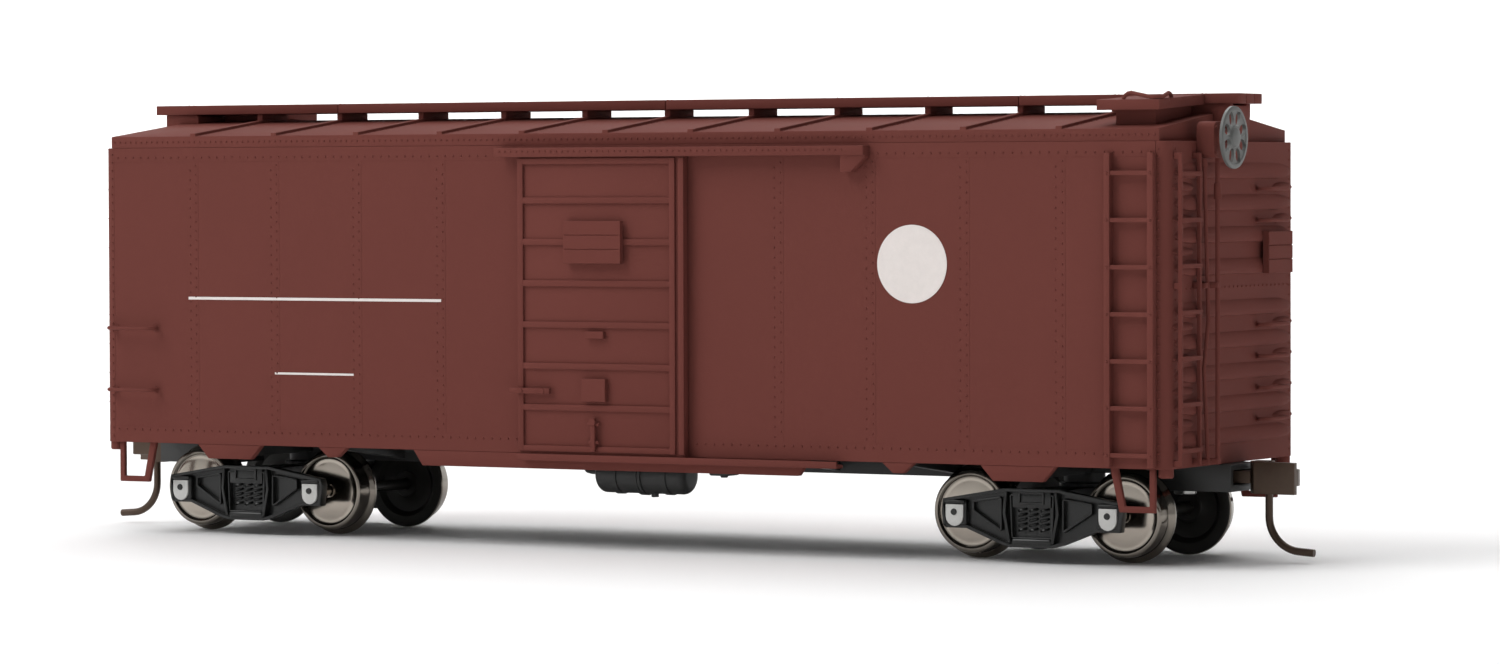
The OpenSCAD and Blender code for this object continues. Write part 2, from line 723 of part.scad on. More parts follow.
module knuckle(far) {
    thick = head_h - 2 * ear_t - 2 * knuckle_gap;
    color(coupler_brown) turned(far) translate([pivot_x + hinge_x, hinge_y, coupler_z]) difference() {
        union() {
            cylinder(r = barrel_r, h = thick, center = true);
            linear_extrude(thick, center = true)
                polygon([[0, 0.9], [0.4, 0], [1.9, 0], [2.3, -0.3], [2.3, -1.3], [3.2, -1.5],
                         [3.9, -1], [3.7, 0.2], [3, 1]]);
        }
        cylinder(d = trip_d, h = head_h, center = true);
    }
}

bend_r = 3.9;
bend_angle = 86;
pin_bend_z = coupler_z - 4.5;
tip_l = 1.9;
module trip_pin(far) {
    color(coupler_brown) turned(far) translate([pivot_x + hinge_x, hinge_y, 0]) {
        translate([0, 0, pin_bend_z]) cylinder(d = trip_d, h = coupler_z + head_h / 2 - pin_bend_z);
        translate([bend_r, 0, pin_bend_z]) rotate([90, 0, 0]) rotate([0, 0, 180])
            rotate_extrude(angle = bend_angle) translate([bend_r, 0]) circle(d = trip_d);
        translate([bend_r, 0, pin_bend_z]) rotate([0, 90 - bend_angle, 0]) translate([0, 0, -bend_r]) {
            sphere(d = trip_d + 0.04);
            rotate([0, 90, 0]) cylinder(d = trip_d, h = tip_l);
        }
    }
}

// Trucks ------------------------------------------------------------------

frame_y2 = frame_over / 2;
frame_y1 = frame_y2 - frame_t;
bolster_z1 = axle_z + 0.9;
bolster_z2 = axle_z + 2.7;
chord_z = axle_z - 3.5;
window_half = 3;
window_z1 = chord_z + 1.3;
bolster_beam = 2.4;
wheel_x = wheelbase / 2;
box_w = 3;

// Outline of a cast side frame in X and Z, about the truck's centre
module frame_outline() {
    top = axle_z + 3.1;
    difference() {
        polygon([[-wheel_x - box_w / 2, axle_z - 1.5], [-wheel_x + box_w / 2, axle_z - 1.5],
                 [-4.4, chord_z], [4.4, chord_z],
                 [wheel_x - box_w / 2, axle_z - 1.5], [wheel_x + box_w / 2, axle_z - 1.5],
                 [wheel_x + box_w / 2, axle_z + 1.5], [wheel_x - 0.3, axle_z + 1.9],
                 [4.6, top], [-4.6, top],
                 [-wheel_x + 0.3, axle_z + 1.9], [-wheel_x - box_w / 2, axle_z + 1.5]]);
        polygon([[-window_half, window_z1], [window_half, window_z1],
                 [window_half, bolster_z2], [-window_half, bolster_z2]]);
        for (s = [-1, 1])
            polygon([[s * (window_half + 1), axle_z - 1.6], [s * (window_half + 1), axle_z + 1.5],
                     [s * (wheel_x - box_w / 2 - 0.6), axle_z + 0.6],
                     [s * (wheel_x - box_w / 2 - 0.6), axle_z - 0.5]]);
    }
}

module side_frames(far) {
    bearing_depth = 1.15;
    color(truck_black) turned(far) translate([truck_x, 0, 0]) for (s = [-1, 1]) difference() {
        union() {
            plate_xz(s > 0 ? frame_y1 : -frame_y2 + 0.3, s > 0 ? frame_y2 - 0.3 : -frame_y1) frame_outline();
            for (x = [-wheel_x, wheel_x])
                block([x - 1.3, s > 0 ? frame_y1 + 0.1 : -frame_y2, axle_z - 1.3],
                      [x + 1.3, s > 0 ? frame_y2 : -frame_y1 - 0.1, axle_z + 1.2]);
        }
        for (x = [-wheel_x, wheel_x])
            translate([x, s * (frame_y1 - 1), axle_z]) rotate([s > 0 ? -90 : 90, 0, 0])
                cylinder(d = journal_d + 2 * run_gap, h = bearing_depth + 1);
    }
}

spring_r = 0.62;
module truck_springs(far) {
    color(truck_black) turned(far) translate([truck_x, 0, 0])
        for (x = [-1.75, 0, 1.75], s = [-1, 1])
            translate([x, s * (frame_y2 - 0.95), window_z1]) cylinder(r = spring_r, h = bolster_z1 - window_z1);
}

head_recess = 0.5;
module truck_bolster(far) {
    color(truck_black) turned(far) translate([truck_x, 0, 0]) difference() {
        union() {
            block([-bolster_beam, -frame_y2 + 0.3, bolster_z1], [bolster_beam, frame_y2 - 0.3, bolster_z2]);
            translate([0, 0, bolster_z1]) cylinder(r = 2.9, h = plate_top - bolster_z1);
        }
        translate([0, 0, bolster_z1 - 1]) cylinder(d = screw_d + 2 * run_gap, h = 6);
        translate([0, 0, bolster_z1 - 1]) cylinder(d = screw_d + 2, h = 1 + head_recess);
    }
}

module truck_screws() {
    color(bare_steel) for (s = [-1, 1]) translate([s * truck_x, 0, 0]) {
        translate([0, 0, bolster_z1 - 0.2]) cylinder(d = screw_d + 1.6, h = head_recess + 0.15);
        translate([0, 0, bolster_z1]) cylinder(d = screw_d, h = floor_z - bolster_z1 - 1);
    }
}

// Half section of a wheel: distance from the axle, and distance from the wheel's back
module wheel_section() {
    tread_r = tread_d / 2;
    polygon([[axle_d / 2, -0.4], [1.6, -0.4], [1.8, 0.3], [tread_r - 1.1, 0.5],
             [tread_r - 0.9, 0], [tread_r + flange_h - 0.2, 0], [tread_r + flange_h, 0.25],
             [tread_r + flange_h - 0.1, 0.6], [tread_r, 0.9], [tread_r - 0.1, rim_w - 0.2],
             [tread_r - 0.3, rim_w], [tread_r - 0.9, rim_w], [tread_r - 1.2, rim_w - 0.8],
             [1.8, 1.5], [1.5, rim_w - 0.3], [axle_d / 2, rim_w - 0.3]]);
}

module wheels(far, outer) {
    color(wheel_steel) turned(far) translate([truck_x + (outer ? wheel_x : -wheel_x), 0, axle_z])
        for (s = [-1, 1])
            translate([0, s * back_to_back / 2, 0]) rotate([s > 0 ? -90 : 90, 0, 0])
                rotate_extrude() wheel_section();
}

module axle(far, outer) {
    body_half = back_to_back / 2 + rim_w;
    tip = frame_y1 + 0.95;
    color(wheel_steel) turned(far) translate([truck_x + (outer ? wheel_x : -wheel_x), 0, axle_z])
        rotate([90, 0, 0]) {
            cylinder(d = axle_d, h = 2 * body_half, center = true);
            cylinder(d = journal_d, h = 2 * tip, center = true);
        }
}

// -------------------------------------------------------------------------

side_wall(false);  // side_wall_near
side_wall(true);  // side_wall_far
end_wall(true);  // end_wall_a
end_wall(false);  // end_wall_b
roof();
car_floor();  // floor
weight_block();
centre_sill();
body_bolsters();
cross_bearers();
side_sills();
running_board();
walk_saddles();
side_walks();
upper_door_tracks();
lower_door_tracks();
side_ladders();
end_ladders();
grab_irons();
stirrup_steps();
poling_pockets();
brake_housing();
brake_wheel();
brake_rod();
retainer_pipe();
end_boards();
air_reservoir();
brake_cylinder();
control_valve();
coupler_boxes();
coupler_box_screws();
truck_screws();
for (far = [false, true]) {
    side = SIDE_NAMES[far ? 1 : 0];
    door(far);
    door_boards(far);
    door_latch(far);
    // The B end is the one that isn't turned
    end = END_NAMES[far ? 0 : 1];
    truck_bolster(far);
    side_frames(far);
    truck_springs(far);
    coupler(far);
    knuckle(far);
    trip_pin(far);
    for (outer = [false, true]) {
        place = AXLE_NAMES[outer ? 1 : 0];
        wheels(far, outer);
        axle(far, outer);
    }
}
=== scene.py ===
import math

import bmesh
import bpy
from bpy.props import FloatProperty, FloatVectorProperty, IntProperty, PointerProperty
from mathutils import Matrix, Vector


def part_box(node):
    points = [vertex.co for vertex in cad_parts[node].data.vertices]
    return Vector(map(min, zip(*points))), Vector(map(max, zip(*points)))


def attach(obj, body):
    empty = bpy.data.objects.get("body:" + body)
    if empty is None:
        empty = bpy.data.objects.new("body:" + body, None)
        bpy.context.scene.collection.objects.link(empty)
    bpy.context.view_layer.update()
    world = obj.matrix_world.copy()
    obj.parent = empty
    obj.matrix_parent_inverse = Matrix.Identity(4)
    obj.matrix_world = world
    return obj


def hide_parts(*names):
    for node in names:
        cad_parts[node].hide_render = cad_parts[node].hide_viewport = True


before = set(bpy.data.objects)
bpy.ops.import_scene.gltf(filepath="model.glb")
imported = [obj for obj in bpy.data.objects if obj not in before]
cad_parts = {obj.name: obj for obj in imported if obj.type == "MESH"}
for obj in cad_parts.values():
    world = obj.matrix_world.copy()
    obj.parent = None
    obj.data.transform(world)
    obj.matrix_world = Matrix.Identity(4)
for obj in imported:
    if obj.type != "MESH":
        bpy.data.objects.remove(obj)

bl_info = {
    "name": "Model Railroad Boxcar",
    "version": (1, 0, 0),
    "blender": (4, 5, 0),
    "location": "View3D > Sidebar > Boxcar",
    "description": "Builds the finished surfaces of a model railroad boxcar around its design frame",
    "category": "Object",
}

# Every size below is in millimetres, and becomes metres where a shape is made
MM = 0.001
SMOOTH_ANGLE = math.radians(35)
TURNS = {
    "+X": (0, math.pi / 2, 0),
    "-X": (0, -math.pi / 2, 0),
    "+Y": (-math.pi / 2, 0, 0),
    "-Y": (math.pi / 2, 0, 0),
    "+Z": (0, 0, 0),
    "-Z": (math.pi, 0, 0),
}
DIRECTIONS = {
    "+X": Vector((1, 0, 0)),
    "-X": Vector((-1, 0, 0)),
    "+Y": Vector((0, 1, 0)),
    "-Y": Vector((0, -1, 0)),
    "+Z": Vector((0, 0, 1)),
    "-Z": Vector((0, 0, -1)),
}


def corners(node):
    """Lowest and highest corner of a design node, in millimetres"""
    low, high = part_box(node)
    return low / MM, high / MM


# Main places of the car, taken from the frame
WALL_LOW, WALL_HIGH = corners("side_wall_near")
HALF_W = -WALL_LOW.y
SILL_Z = WALL_LOW.z
EAVE_Z = WALL_HIGH.z
WALL_X = WALL_HIGH.x
END_T = 1.6
END_X = WALL_X + END_T
CORNER_R = 1.4
ROOF_HIGH = corners("roof")[1]
ROOF_END = ROOF_HIGH.x
CAP_T = 0.35
RIDGE_Z = ROOF_HIGH.z - CAP_T
ROOF_EDGE_Z = EAVE_Z + 1.4
DOOR_LOW, DOOR_HIGH = corners("door_near")
DOORWAY_LOW = (-10, 0, 12.65)
DOORWAY_HIGH = (10, 0, 44.8)
TRUCK_X = sum(v.x for v in corners("truck_bolster_b")) / 2
AXLE_Z = sum(v.z for v in corners("axle_b_outer")) / 2
WHEEL_X = sum(v.x for v in corners("axle_b_outer")) / 2 - TRUCK_X
SEAMS = [23.1, 35.1, 47.1, 59.1]


def roof_z(y):
    """Height of the roof panels at a distance y from the middle"""
    return RIDGE_Z - (RIDGE_Z - ROOF_EDGE_Z) * abs(y) / HALF_W


def linear(code):
    """A colour's linear red, green and blue from its sRGB hex code"""
    parts = [int(code[i : i + 2], 16) / 255 for i in (0, 2, 4)]
    return tuple(p / 12.92 if p <= 0.04045 else ((p + 0.055) / 1.055) ** 2.4 for p in parts)


# Settings -----------------------------------------------------------------


def length(name, about, millimetres):
    """A setting that holds a small length"""
    return FloatProperty(name=name, description=about, default=millimetres * MM, unit="LENGTH", precision=5)


def tint(name, about, code):
    """A setting that holds a colour"""
    return FloatVectorProperty(name=name, description=about, subtype="COLOR", size=3, default=linear(code))


def power(name, about, watts):
    """A setting that holds a light's power"""
    return FloatProperty(name=name, description=about, unit="POWER", default=watts)


def turn(name, about, degrees):
    """A setting that holds an angle"""
    return FloatProperty(name=name, description=about, subtype="ANGLE", default=math.radians(degrees))


class BoxcarSizes(bpy.types.PropertyGroup):
    """Sizes of the small details"""

    rivet_d: length("Rivet diameter", "Diameter of a rivet head on the body", 0.32)
    rivet_pitch: length("Rivet pitch", "Distance between the rivets of a row", 1.15)
    edge_round: length("Edge radius", "Radius of the moulded edges", 0.08)
    wire_d: length("Wire diameter", "Diameter of the grab irons' wire", 0.46)
    spring_turns: IntProperty(
        name="Spring turns", description="Turns of each truck spring", default=5, min=2, max=10
    )


class BoxcarColours(bpy.types.PropertyGroup):
    """Colours of the finishes"""

    body: tint("Body", "Flat brown of the body", "6D3D37")
    underframe: tint("Underframe", "Black of the underframe", "232322")
    truck: tint("Trucks", "Satin black of the truck frames", "151615")
    wheel: tint("Wheels", "Bright metal of the wheels' faces", "A39B91")
    wheel_back: tint("Wheel backs", "Dull black of the wheels' backs", "24221F")
    coupler: tint("Couplers", "Brown-black of the couplers", "4A3B30")
    brake_wheel: tint("Brake wheel", "Grey of the brake wheel", "616260")
    ink: tint("Markings", "Off-white of the printed lines", "E6DEDA")
    lid: tint("Journal lids", "Silver of the journal lids", "C9C9C6")
    weight: tint("Weight", "Grey of the steel weight", "8C8D90")
    screw: tint("Screws", "Grey of the plated screws", "A9A9A6")
    card: tint("Studio", "Off-white of the studio's floor", "FAFAFA")


class BoxcarStage(bpy.types.PropertyGroup):
    """Camera and light of the studio"""

    azimuth: turn("Azimuth", "Camera's turn round the car", 29.57)
    elevation: turn("Elevation", "Camera's height above the horizon", 1.63)
    roll: turn("Roll", "Camera's tilt about its own axis", -0.17)
    distance: FloatProperty(
        name="Distance", description="Camera's distance from its target", unit="LENGTH", default=0.6199
    )
    overhead_power: power("Overhead light", "Power of the soft light above the car", 46)
    backdrop_power: power("Backdrop light", "Power of the light on the backdrop", 34)
    key_power: power("Key light", "Power of the light in front on the left", 26)


def size(name):
    """A detail size in millimetres"""
    return getattr(bpy.context.scene.boxcar_sizes, name) / MM


def colour(name):
    """One of the finishes' colours, with its alpha"""
    return (*getattr(bpy.context.scene.boxcar_colours, name), 1)


# Making shapes ------------------------------------------------------------


def select(*chosen):
    """Selects only these pieces and makes the first one active"""
    bpy.ops.object.select_all(action="DESELECT")
    for piece in chosen:
        piece.select_set(True)
    bpy.context.view_layer.objects.active = chosen[0]


def edit(piece, kind="FACE", everything=False):
    """Opens a piece in edit mode"""
    select(piece)
    bpy.ops.object.mode_set(mode="EDIT")
    bpy.ops.mesh.select_mode(type=kind)
    bpy.ops.mesh.select_all(action="SELECT" if everything else "DESELECT")


def leave():
    bpy.ops.object.mode_set(mode="OBJECT")


def settle():
    """Carries the active piece's place, turn and scale over into its mesh"""
    bpy.ops.object.transform_apply(location=True, rotation=True, scale=True)
    return bpy.context.object


def extrude(way):
    """In edit mode, draws the selected parts out by a vector in millimetres"""
    bpy.ops.mesh.extrude_region_move(TRANSFORM_OT_translate={"value": tuple(Vector(way) * MM)})


def pick(piece, kind, test):
    """In edit mode, selects the parts of a piece whose place in millimetres and direction pass a test"""
    mesh = bmesh.from_edit_mesh(piece.data)
    for face in mesh.faces:
        if kind == "FACE" and test(face.calc_center_median() / MM, face.normal):
            face.select = True
    for edge in mesh.edges:
        start, end = (v.co / MM for v in edge.verts)
        if kind == "EDGE" and test((start + end) / 2, (end - start).normalized()):
            edge.select = True
    for vert in mesh.verts:
        if kind == "VERT" and test(vert.co / MM, vert.normal):
            vert.select = True
    mesh.select_flush_mode()
    bmesh.update_edit_mesh(piece.data)


def close_up(piece):
    """Merges a piece's doubles and turns its faces outwards"""
    edit(piece, everything=True)
    bpy.ops.mesh.remove_doubles(threshold=0.002 * MM)
    bpy.ops.mesh.normals_make_consistent(inside=False)
    leave()
    return piece


def modify(piece, kind, **settings):
    """Gives a piece a modifier and applies it"""
    select(piece)
    modifier = piece.modifiers.new(kind.title(), kind)
    for key, value in settings.items():
        setattr(modifier, key, value)
    bpy.ops.object.modifier_apply(modifier=modifier.name)
    return piece


def round_off(piece, radius, segments=2, angle=30):
    """Rounds the edges that are sharper than an angle"""
    limit = {"limit_method": "ANGLE", "angle_limit": math.radians(angle)}
    return modify(piece, "BEVEL", width=radius * MM, segments=segments, **limit)


def cut(piece, cutter):
    """Takes one shape out of another"""
    modify(piece, "BOOLEAN", operation="DIFFERENCE", solver="EXACT", object=cutter)
    bpy.data.objects.remove(cutter)
    return piece


def join(pieces):
    """Makes several shapes one piece"""
    select(*pieces)
    bpy.ops.object.join()
    return bpy.context.object


def box(low, high):
    """A block from its lowest to its highest corner"""
    bpy.ops.object.select_all(action="DESELECT")
    low, high = Vector(low), Vector(high)
    bpy.ops.mesh.primitive_cube_add(size=1, location=(low + high) / 2 * MM, scale=(high - low) * MM)
    return settle()


def stub(start, toward, radius, length, tip=None, sides=24):
    """A round bar or cone that starts at a point and runs along an axis"""
    bpy.ops.object.select_all(action="DESELECT")
    bpy.ops.mesh.primitive_cone_add(
        vertices=sides,
        radius1=radius * MM,
        radius2=(radius if tip is None else tip) * MM,
        depth=length * MM,
        location=(Vector(start) + DIRECTIONS[toward] * length / 2) * MM,
        rotation=TURNS[toward],
    )
    return settle()


def draw(points, closed=False):
    """A chain of edges through points, drawn vertex by vertex"""
    points = [Vector(p) * MM for p in points]
    bpy.ops.object.select_all(action="DESELECT")
    bpy.ops.mesh.primitive_plane_add(size=0.1 * MM, location=points[0])
    piece = bpy.context.object
    settle()
    edit(piece, "VERT", everything=True)
    bpy.ops.mesh.merge(type="CENTER")
    for here, there in zip(points, points[1:]):
        bpy.ops.mesh.extrude_vertices_move(TRANSFORM_OT_translate={"value": tuple(there - here)})
    if closed:
        mesh = bmesh.from_edit_mesh(piece.data)
        mesh.verts.ensure_lookup_table()
        mesh.verts[0].select = True
        bmesh.update_edit_mesh(piece.data)
        bpy.ops.mesh.edge_face_add()
    leave()
    return piece


def plate(points, depth):
    """A closed outline, filled and drawn out by a vector"""
    piece = draw(points, closed=True)
    edit(piece, "EDGE", everything=True)
    bpy.ops.mesh.edge_face_add()
    extrude(depth)
    leave()
    return close_up(piece)


def ribbon(points, depth, width, closed=False):
    """A strip on edge that follows a line: drawn out by a vector, and as thick as width"""
    piece = draw(points, closed)
    edit(piece, "EDGE", everything=True)
    extrude(depth)
    leave()
    modify(piece, "SOLIDIFY", thickness=width * MM, offset=0, use_even_offset=True)
    return close_up(piece)


def lathe(profile, centre, axis, steps=40, closed=False):
    """A turned shape: (radius, distance along the axis) pairs, spun about the axis through centre"""
    centre, along = Vector(centre), DIRECTIONS[axis]
    side = along.orthogonal().normalized()
    piece = draw([centre + side * r + along * d for r, d in profile], closed)
    edit(piece, "VERT", everything=True)
    bpy.ops.mesh.spin(steps=steps, angle=2 * math.pi, center=centre * MM, axis=along)
    leave()
    return close_up(piece)


def bent(points, radius, steps=4):
    """The points of a line, with an arc of that radius at each inner corner"""
    points = [Vector(p) for p in points]
    path = [points[0]]
    for before, corner, after in zip(points, points[1:], points[2:]):
        back, onward = (before - corner).normalized(), (after - corner).normalized()
        half = back.angle(onward) / 2
        centre = corner + (back + onward).normalized() * (radius / math.sin(half))
        start = corner + back * (radius / math.tan(half)) - centre
        end = corner + onward * (radius / math.tan(half)) - centre
        path += [centre + start.slerp(end, i / steps) for i in range(steps + 1)]
    return path + [points[-1]]


def wire(points, radius, closed=False, roundness=2):
    """A round wire along points"""
    curve = bpy.data.curves.new("wire", "CURVE")
    curve.dimensions = "3D"
    curve.bevel_depth = radius * MM
    curve.bevel_resolution = roundness
    curve.use_fill_caps = not closed
    spline = curve.splines.new("POLY")
    spline.points.add(len(points) - 1)
    for point, place in zip(spline.points, points):
        point.co = (*(Vector(place) * MM), 1)
    spline.use_cyclic_u = closed
    piece = bpy.data.objects.new("wire", curve)
    bpy.context.collection.objects.link(piece)
    select(piece)
    bpy.ops.object.convert(target="MESH")
    return close_up(bpy.context.object)


def repeat(piece, step, count):
    """A row of copies, each a step from the last"""
    return modify(
        piece,
        "ARRAY",
        use_relative_offset=False,
        use_constant_offset=True,
        constant_offset_displace=Vector(step) * MM,
        count=count,
    )


def duplicate(piece, shift=(0, 0, 0)):
    """A copy with its own mesh, moved by a shift"""
    select(piece)
    bpy.ops.object.duplicate()
    copy = bpy.context.object
    copy.parent = None
    for key in list(copy.keys()):
        del copy[key]
    copy.location = Vector(shift) * MM
    settle()
    return copy


def half_turn(piece, centre=(0, 0, 0)):
    """A copy turned half a turn about the upright line through centre"""
    copy = duplicate(piece)
    bpy.ops.transform.rotate(value=math.pi, orient_axis="Z", center_override=Vector(centre) * MM)
    settle()
    return copy


def both_sides(pieces):
    """One piece made of these and of their copies on the other side and end"""
    piece = join(pieces)
    return join([piece, half_turn(piece)])


def pierced(low, high, hole_low, hole_high):
    """An upright block with a window right through it, from front to back"""
    wall = box(low, high)
    for way in ((1, 0, 0), (0, 0, 1)):
        for place in (hole_low, hole_high):
            edit(wall, everything=True)
            bpy.ops.mesh.bisect(plane_co=Vector(place) * MM, plane_no=way)
            leave()
    edit(wall)
    pick(
        wall,
        "FACE",
        lambda place, way: abs(way.y) > 0.9
        and hole_low[0] < place.x < hole_high[0]
        and hole_low[2] < place.z < hole_high[2],
    )
    bpy.ops.mesh.delete(type="FACE")
    bpy.ops.mesh.select_mode(type="EDGE")
    bpy.ops.mesh.select_non_manifold()
    bpy.ops.mesh.bridge_edge_loops()
    leave()
    return close_up(wall)


def copy_of(node):
    """A copy of a design node with its triangles merged into clean faces"""
    piece = duplicate(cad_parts[node])
    bpy.ops.mesh.customdata_custom_splitnormals_clear()
    edit(piece, everything=True)
    bpy.ops.mesh.remove_doubles(threshold=0.002 * MM)
    bpy.ops.mesh.dissolve_limited(angle_limit=math.radians(1))
    bpy.ops.mesh.normals_make_consistent(inside=False)
    leave()
    return piece


def soft_copy(node, radius=None, segments=2, angle=30):
    """A copy of a design node with rounded edges"""
    return round_off(copy_of(node), radius or size("edge_round"), segments, angle)


def rivet(place, toward, diameter=None):
    """A small domed rivet head whose foot is sunk a little into the sheet"""
    radius = (diameter or size("rivet_d")) / 2
    sunk = 0.03
    start = Vector(place) - DIRECTIONS[toward] * sunk
    return stub(start, toward, radius, sunk + radius * 0.65, tip=radius * 0.5, sides=8)


def rivets(start, end, toward, pitch=None, diameter=None):
    """A row of rivets from start to end, at the nearest whole pitch"""
    start, end = Vector(start), Vector(end)
    gaps = max(1, round((end - start).length / (pitch or size("rivet_pitch"))))
    return repeat(rivet(start, toward, diameter), (end - start) / gaps, gaps + 1)


def finish(piece, name, body, material, stands_for=()):
    """Names a finished piece, gives it its surface and seats it on its body"""
    piece.name = name
    piece.data.name = name
    select(piece)
    bpy.ops.object.shade_smooth_by_angle(angle=SMOOTH_ANGLE)
    piece.data.materials.clear()
    piece.data.materials.append(material)
    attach(piece, body)
    if stands_for:
        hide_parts(*stands_for)
    return piece


# Surfaces -----------------------------------------------------------------


CONTRAST = 0.05  # how far the roughness strays with the tone


def new_material(name):
    """The material of this name and its shader, or no shader if the material is there already"""
    material = bpy.data.materials.get(name)
    if material:
        return material, None
    material = bpy.data.materials.new(name)
    material.use_nodes = True
    return material, material.node_tree.nodes["Principled BSDF"]


def fill(material, node, inputs):
    """Fills a node's inputs with values or other nodes' outputs"""
    for key, value in inputs.items():
        if isinstance(value, bpy.types.NodeSocket):
            material.node_tree.links.new(value, node.inputs[key])
        else:
            node.inputs[key].default_value = value


def add(material, kind, output, inputs, **settings):
    """Adds a node, sets its properties, fills its inputs, and gives one of its outputs"""
    node = material.node_tree.nodes.new("ShaderNode" + kind)
    for key, value in settings.items():
        setattr(node, key, value)
    fill(material, node, inputs)
    return node.outputs[output]


def shade(rgba, factor):
    """A lighter or darker tone of a colour"""
    return (*[min(1, c * factor) for c in rgba[:3]], 1)


def grained(name, tint_name, roughness, grain, depth, tone, patch=14, **more):
    """Uneven tone in patches, a fine grain in the surface, and a roughness that follows both.
    Grain and patch are widths in millimetres, depth is the grain's height, and more is other inputs."""
    material, shader = new_material(name)
    if not shader:
        return material
    base = colour(tint_name)
    place = add(material, "TexCoord", "Object", {})
    broad = {"Vector": place, "Scale": 1 / (patch * MM), "Detail": 4, "Roughness": 0.6}
    narrow = {"Vector": place, "Scale": 1 / (grain * MM), "Detail": 3, "Roughness": 0.55}
    patches = add(material, "TexNoise", "Fac", broad)
    fine = add(material, "TexNoise", "Fac", narrow)
    mixed = add(material, "Math", 0, {0: fine, 1: 0.35, 2: patches}, operation="MULTIPLY_ADD")
    tones = {0: mixed, 6: shade(base, 1 - tone), 7: shade(base, 1 + tone)}
    gloss = {"Value": mixed, "To Min": roughness - CONTRAST, "To Max": roughness + CONTRAST}
    relief = {"Strength": 1, "Distance": depth * MM, "Height": fine}
    inputs = {
        "Base Color": add(material, "Mix", 2, tones, data_type="RGBA"),
        "Roughness": add(material, "MapRange", 0, gloss),
        "Normal": add(material, "Bump", "Normal", relief),
    }
    for key, value in more.items():
        inputs[key.replace("_", " ")] = value
    fill(material, shader, inputs)
    return material


def flat_enamel():
    """Styrene, injection moulded and sprayed with flat brown enamel: matt, faintly pebbled, a little
    uneven in tone. The pebble of real spray is about 0.05 mm; it is drawn at 0.3 mm so that it shows."""
    name = "styrene_flat_brown_enamel"
    return grained(name, "body", 0.68, 0.3, 0.012, 0.05, 18, IOR=1.5, Specular_IOR_Level=0.05)


def moulded_abs():
    """Black ABS, moulded in a spark-eroded tool: an even dull sheen with a fine grain of 0.25 mm"""
    return grained("abs_moulded_black", "underframe", 0.5, 0.25, 0.01, 0.12, IOR=1.54)


def satin_acetal():
    """Black acetal, moulded in a polished tool: satin, slippery, with soft bright highlights on its edges"""
    return grained("acetal_satin_black", "truck", 0.3, 0.4, 0.006, 0.1, 5, IOR=1.48)


def blackened_zinc():
    """Die-cast zinc, chemically blackened: brown-black, with a soft metallic glint and a cast skin"""
    return grained("zinc_cast_blackened", "coupler", 0.42, 0.3, 0.01, 0.25, 2, Metallic=0.55)


def grey_styrene():
    """Grey styrene, moulded and unpainted: a dull even surface with a fine grain"""
    return grained("styrene_moulded_grey", "brake_wheel", 0.48, 0.2, 0.006, 0.08, 3, IOR=1.5)


def rolled_steel():
    """Mild steel sheet, cold rolled and cut to a plain weight: grey, with a mottled skin"""
    return grained("steel_cold_rolled", "weight", 0.4, 0.5, 0.01, 0.15, Metallic=1)


def plated_screw():
    """Steel screw, zinc plated: bright, cool grey, with a fine crystalline skin"""
    return grained("steel_zinc_plated", "screw", 0.3, 0.15, 0.004, 0.12, 1, Metallic=1)


def silver_print():
    """Silver ink, pad printed on the journal lids: light grey with the flake's fine sparkle"""
    return grained("ink_printed_silver", "lid", 0.4, 0.12, 0.004, 0.08, 0.6, Metallic=0.35)


def white_print():
    """White ink, pad printed on the sides: off-white and thin, with a faint grain"""
    return grained("ink_printed_white", "ink", 0.55, 0.25, 0.003, 0.06, 0.8)


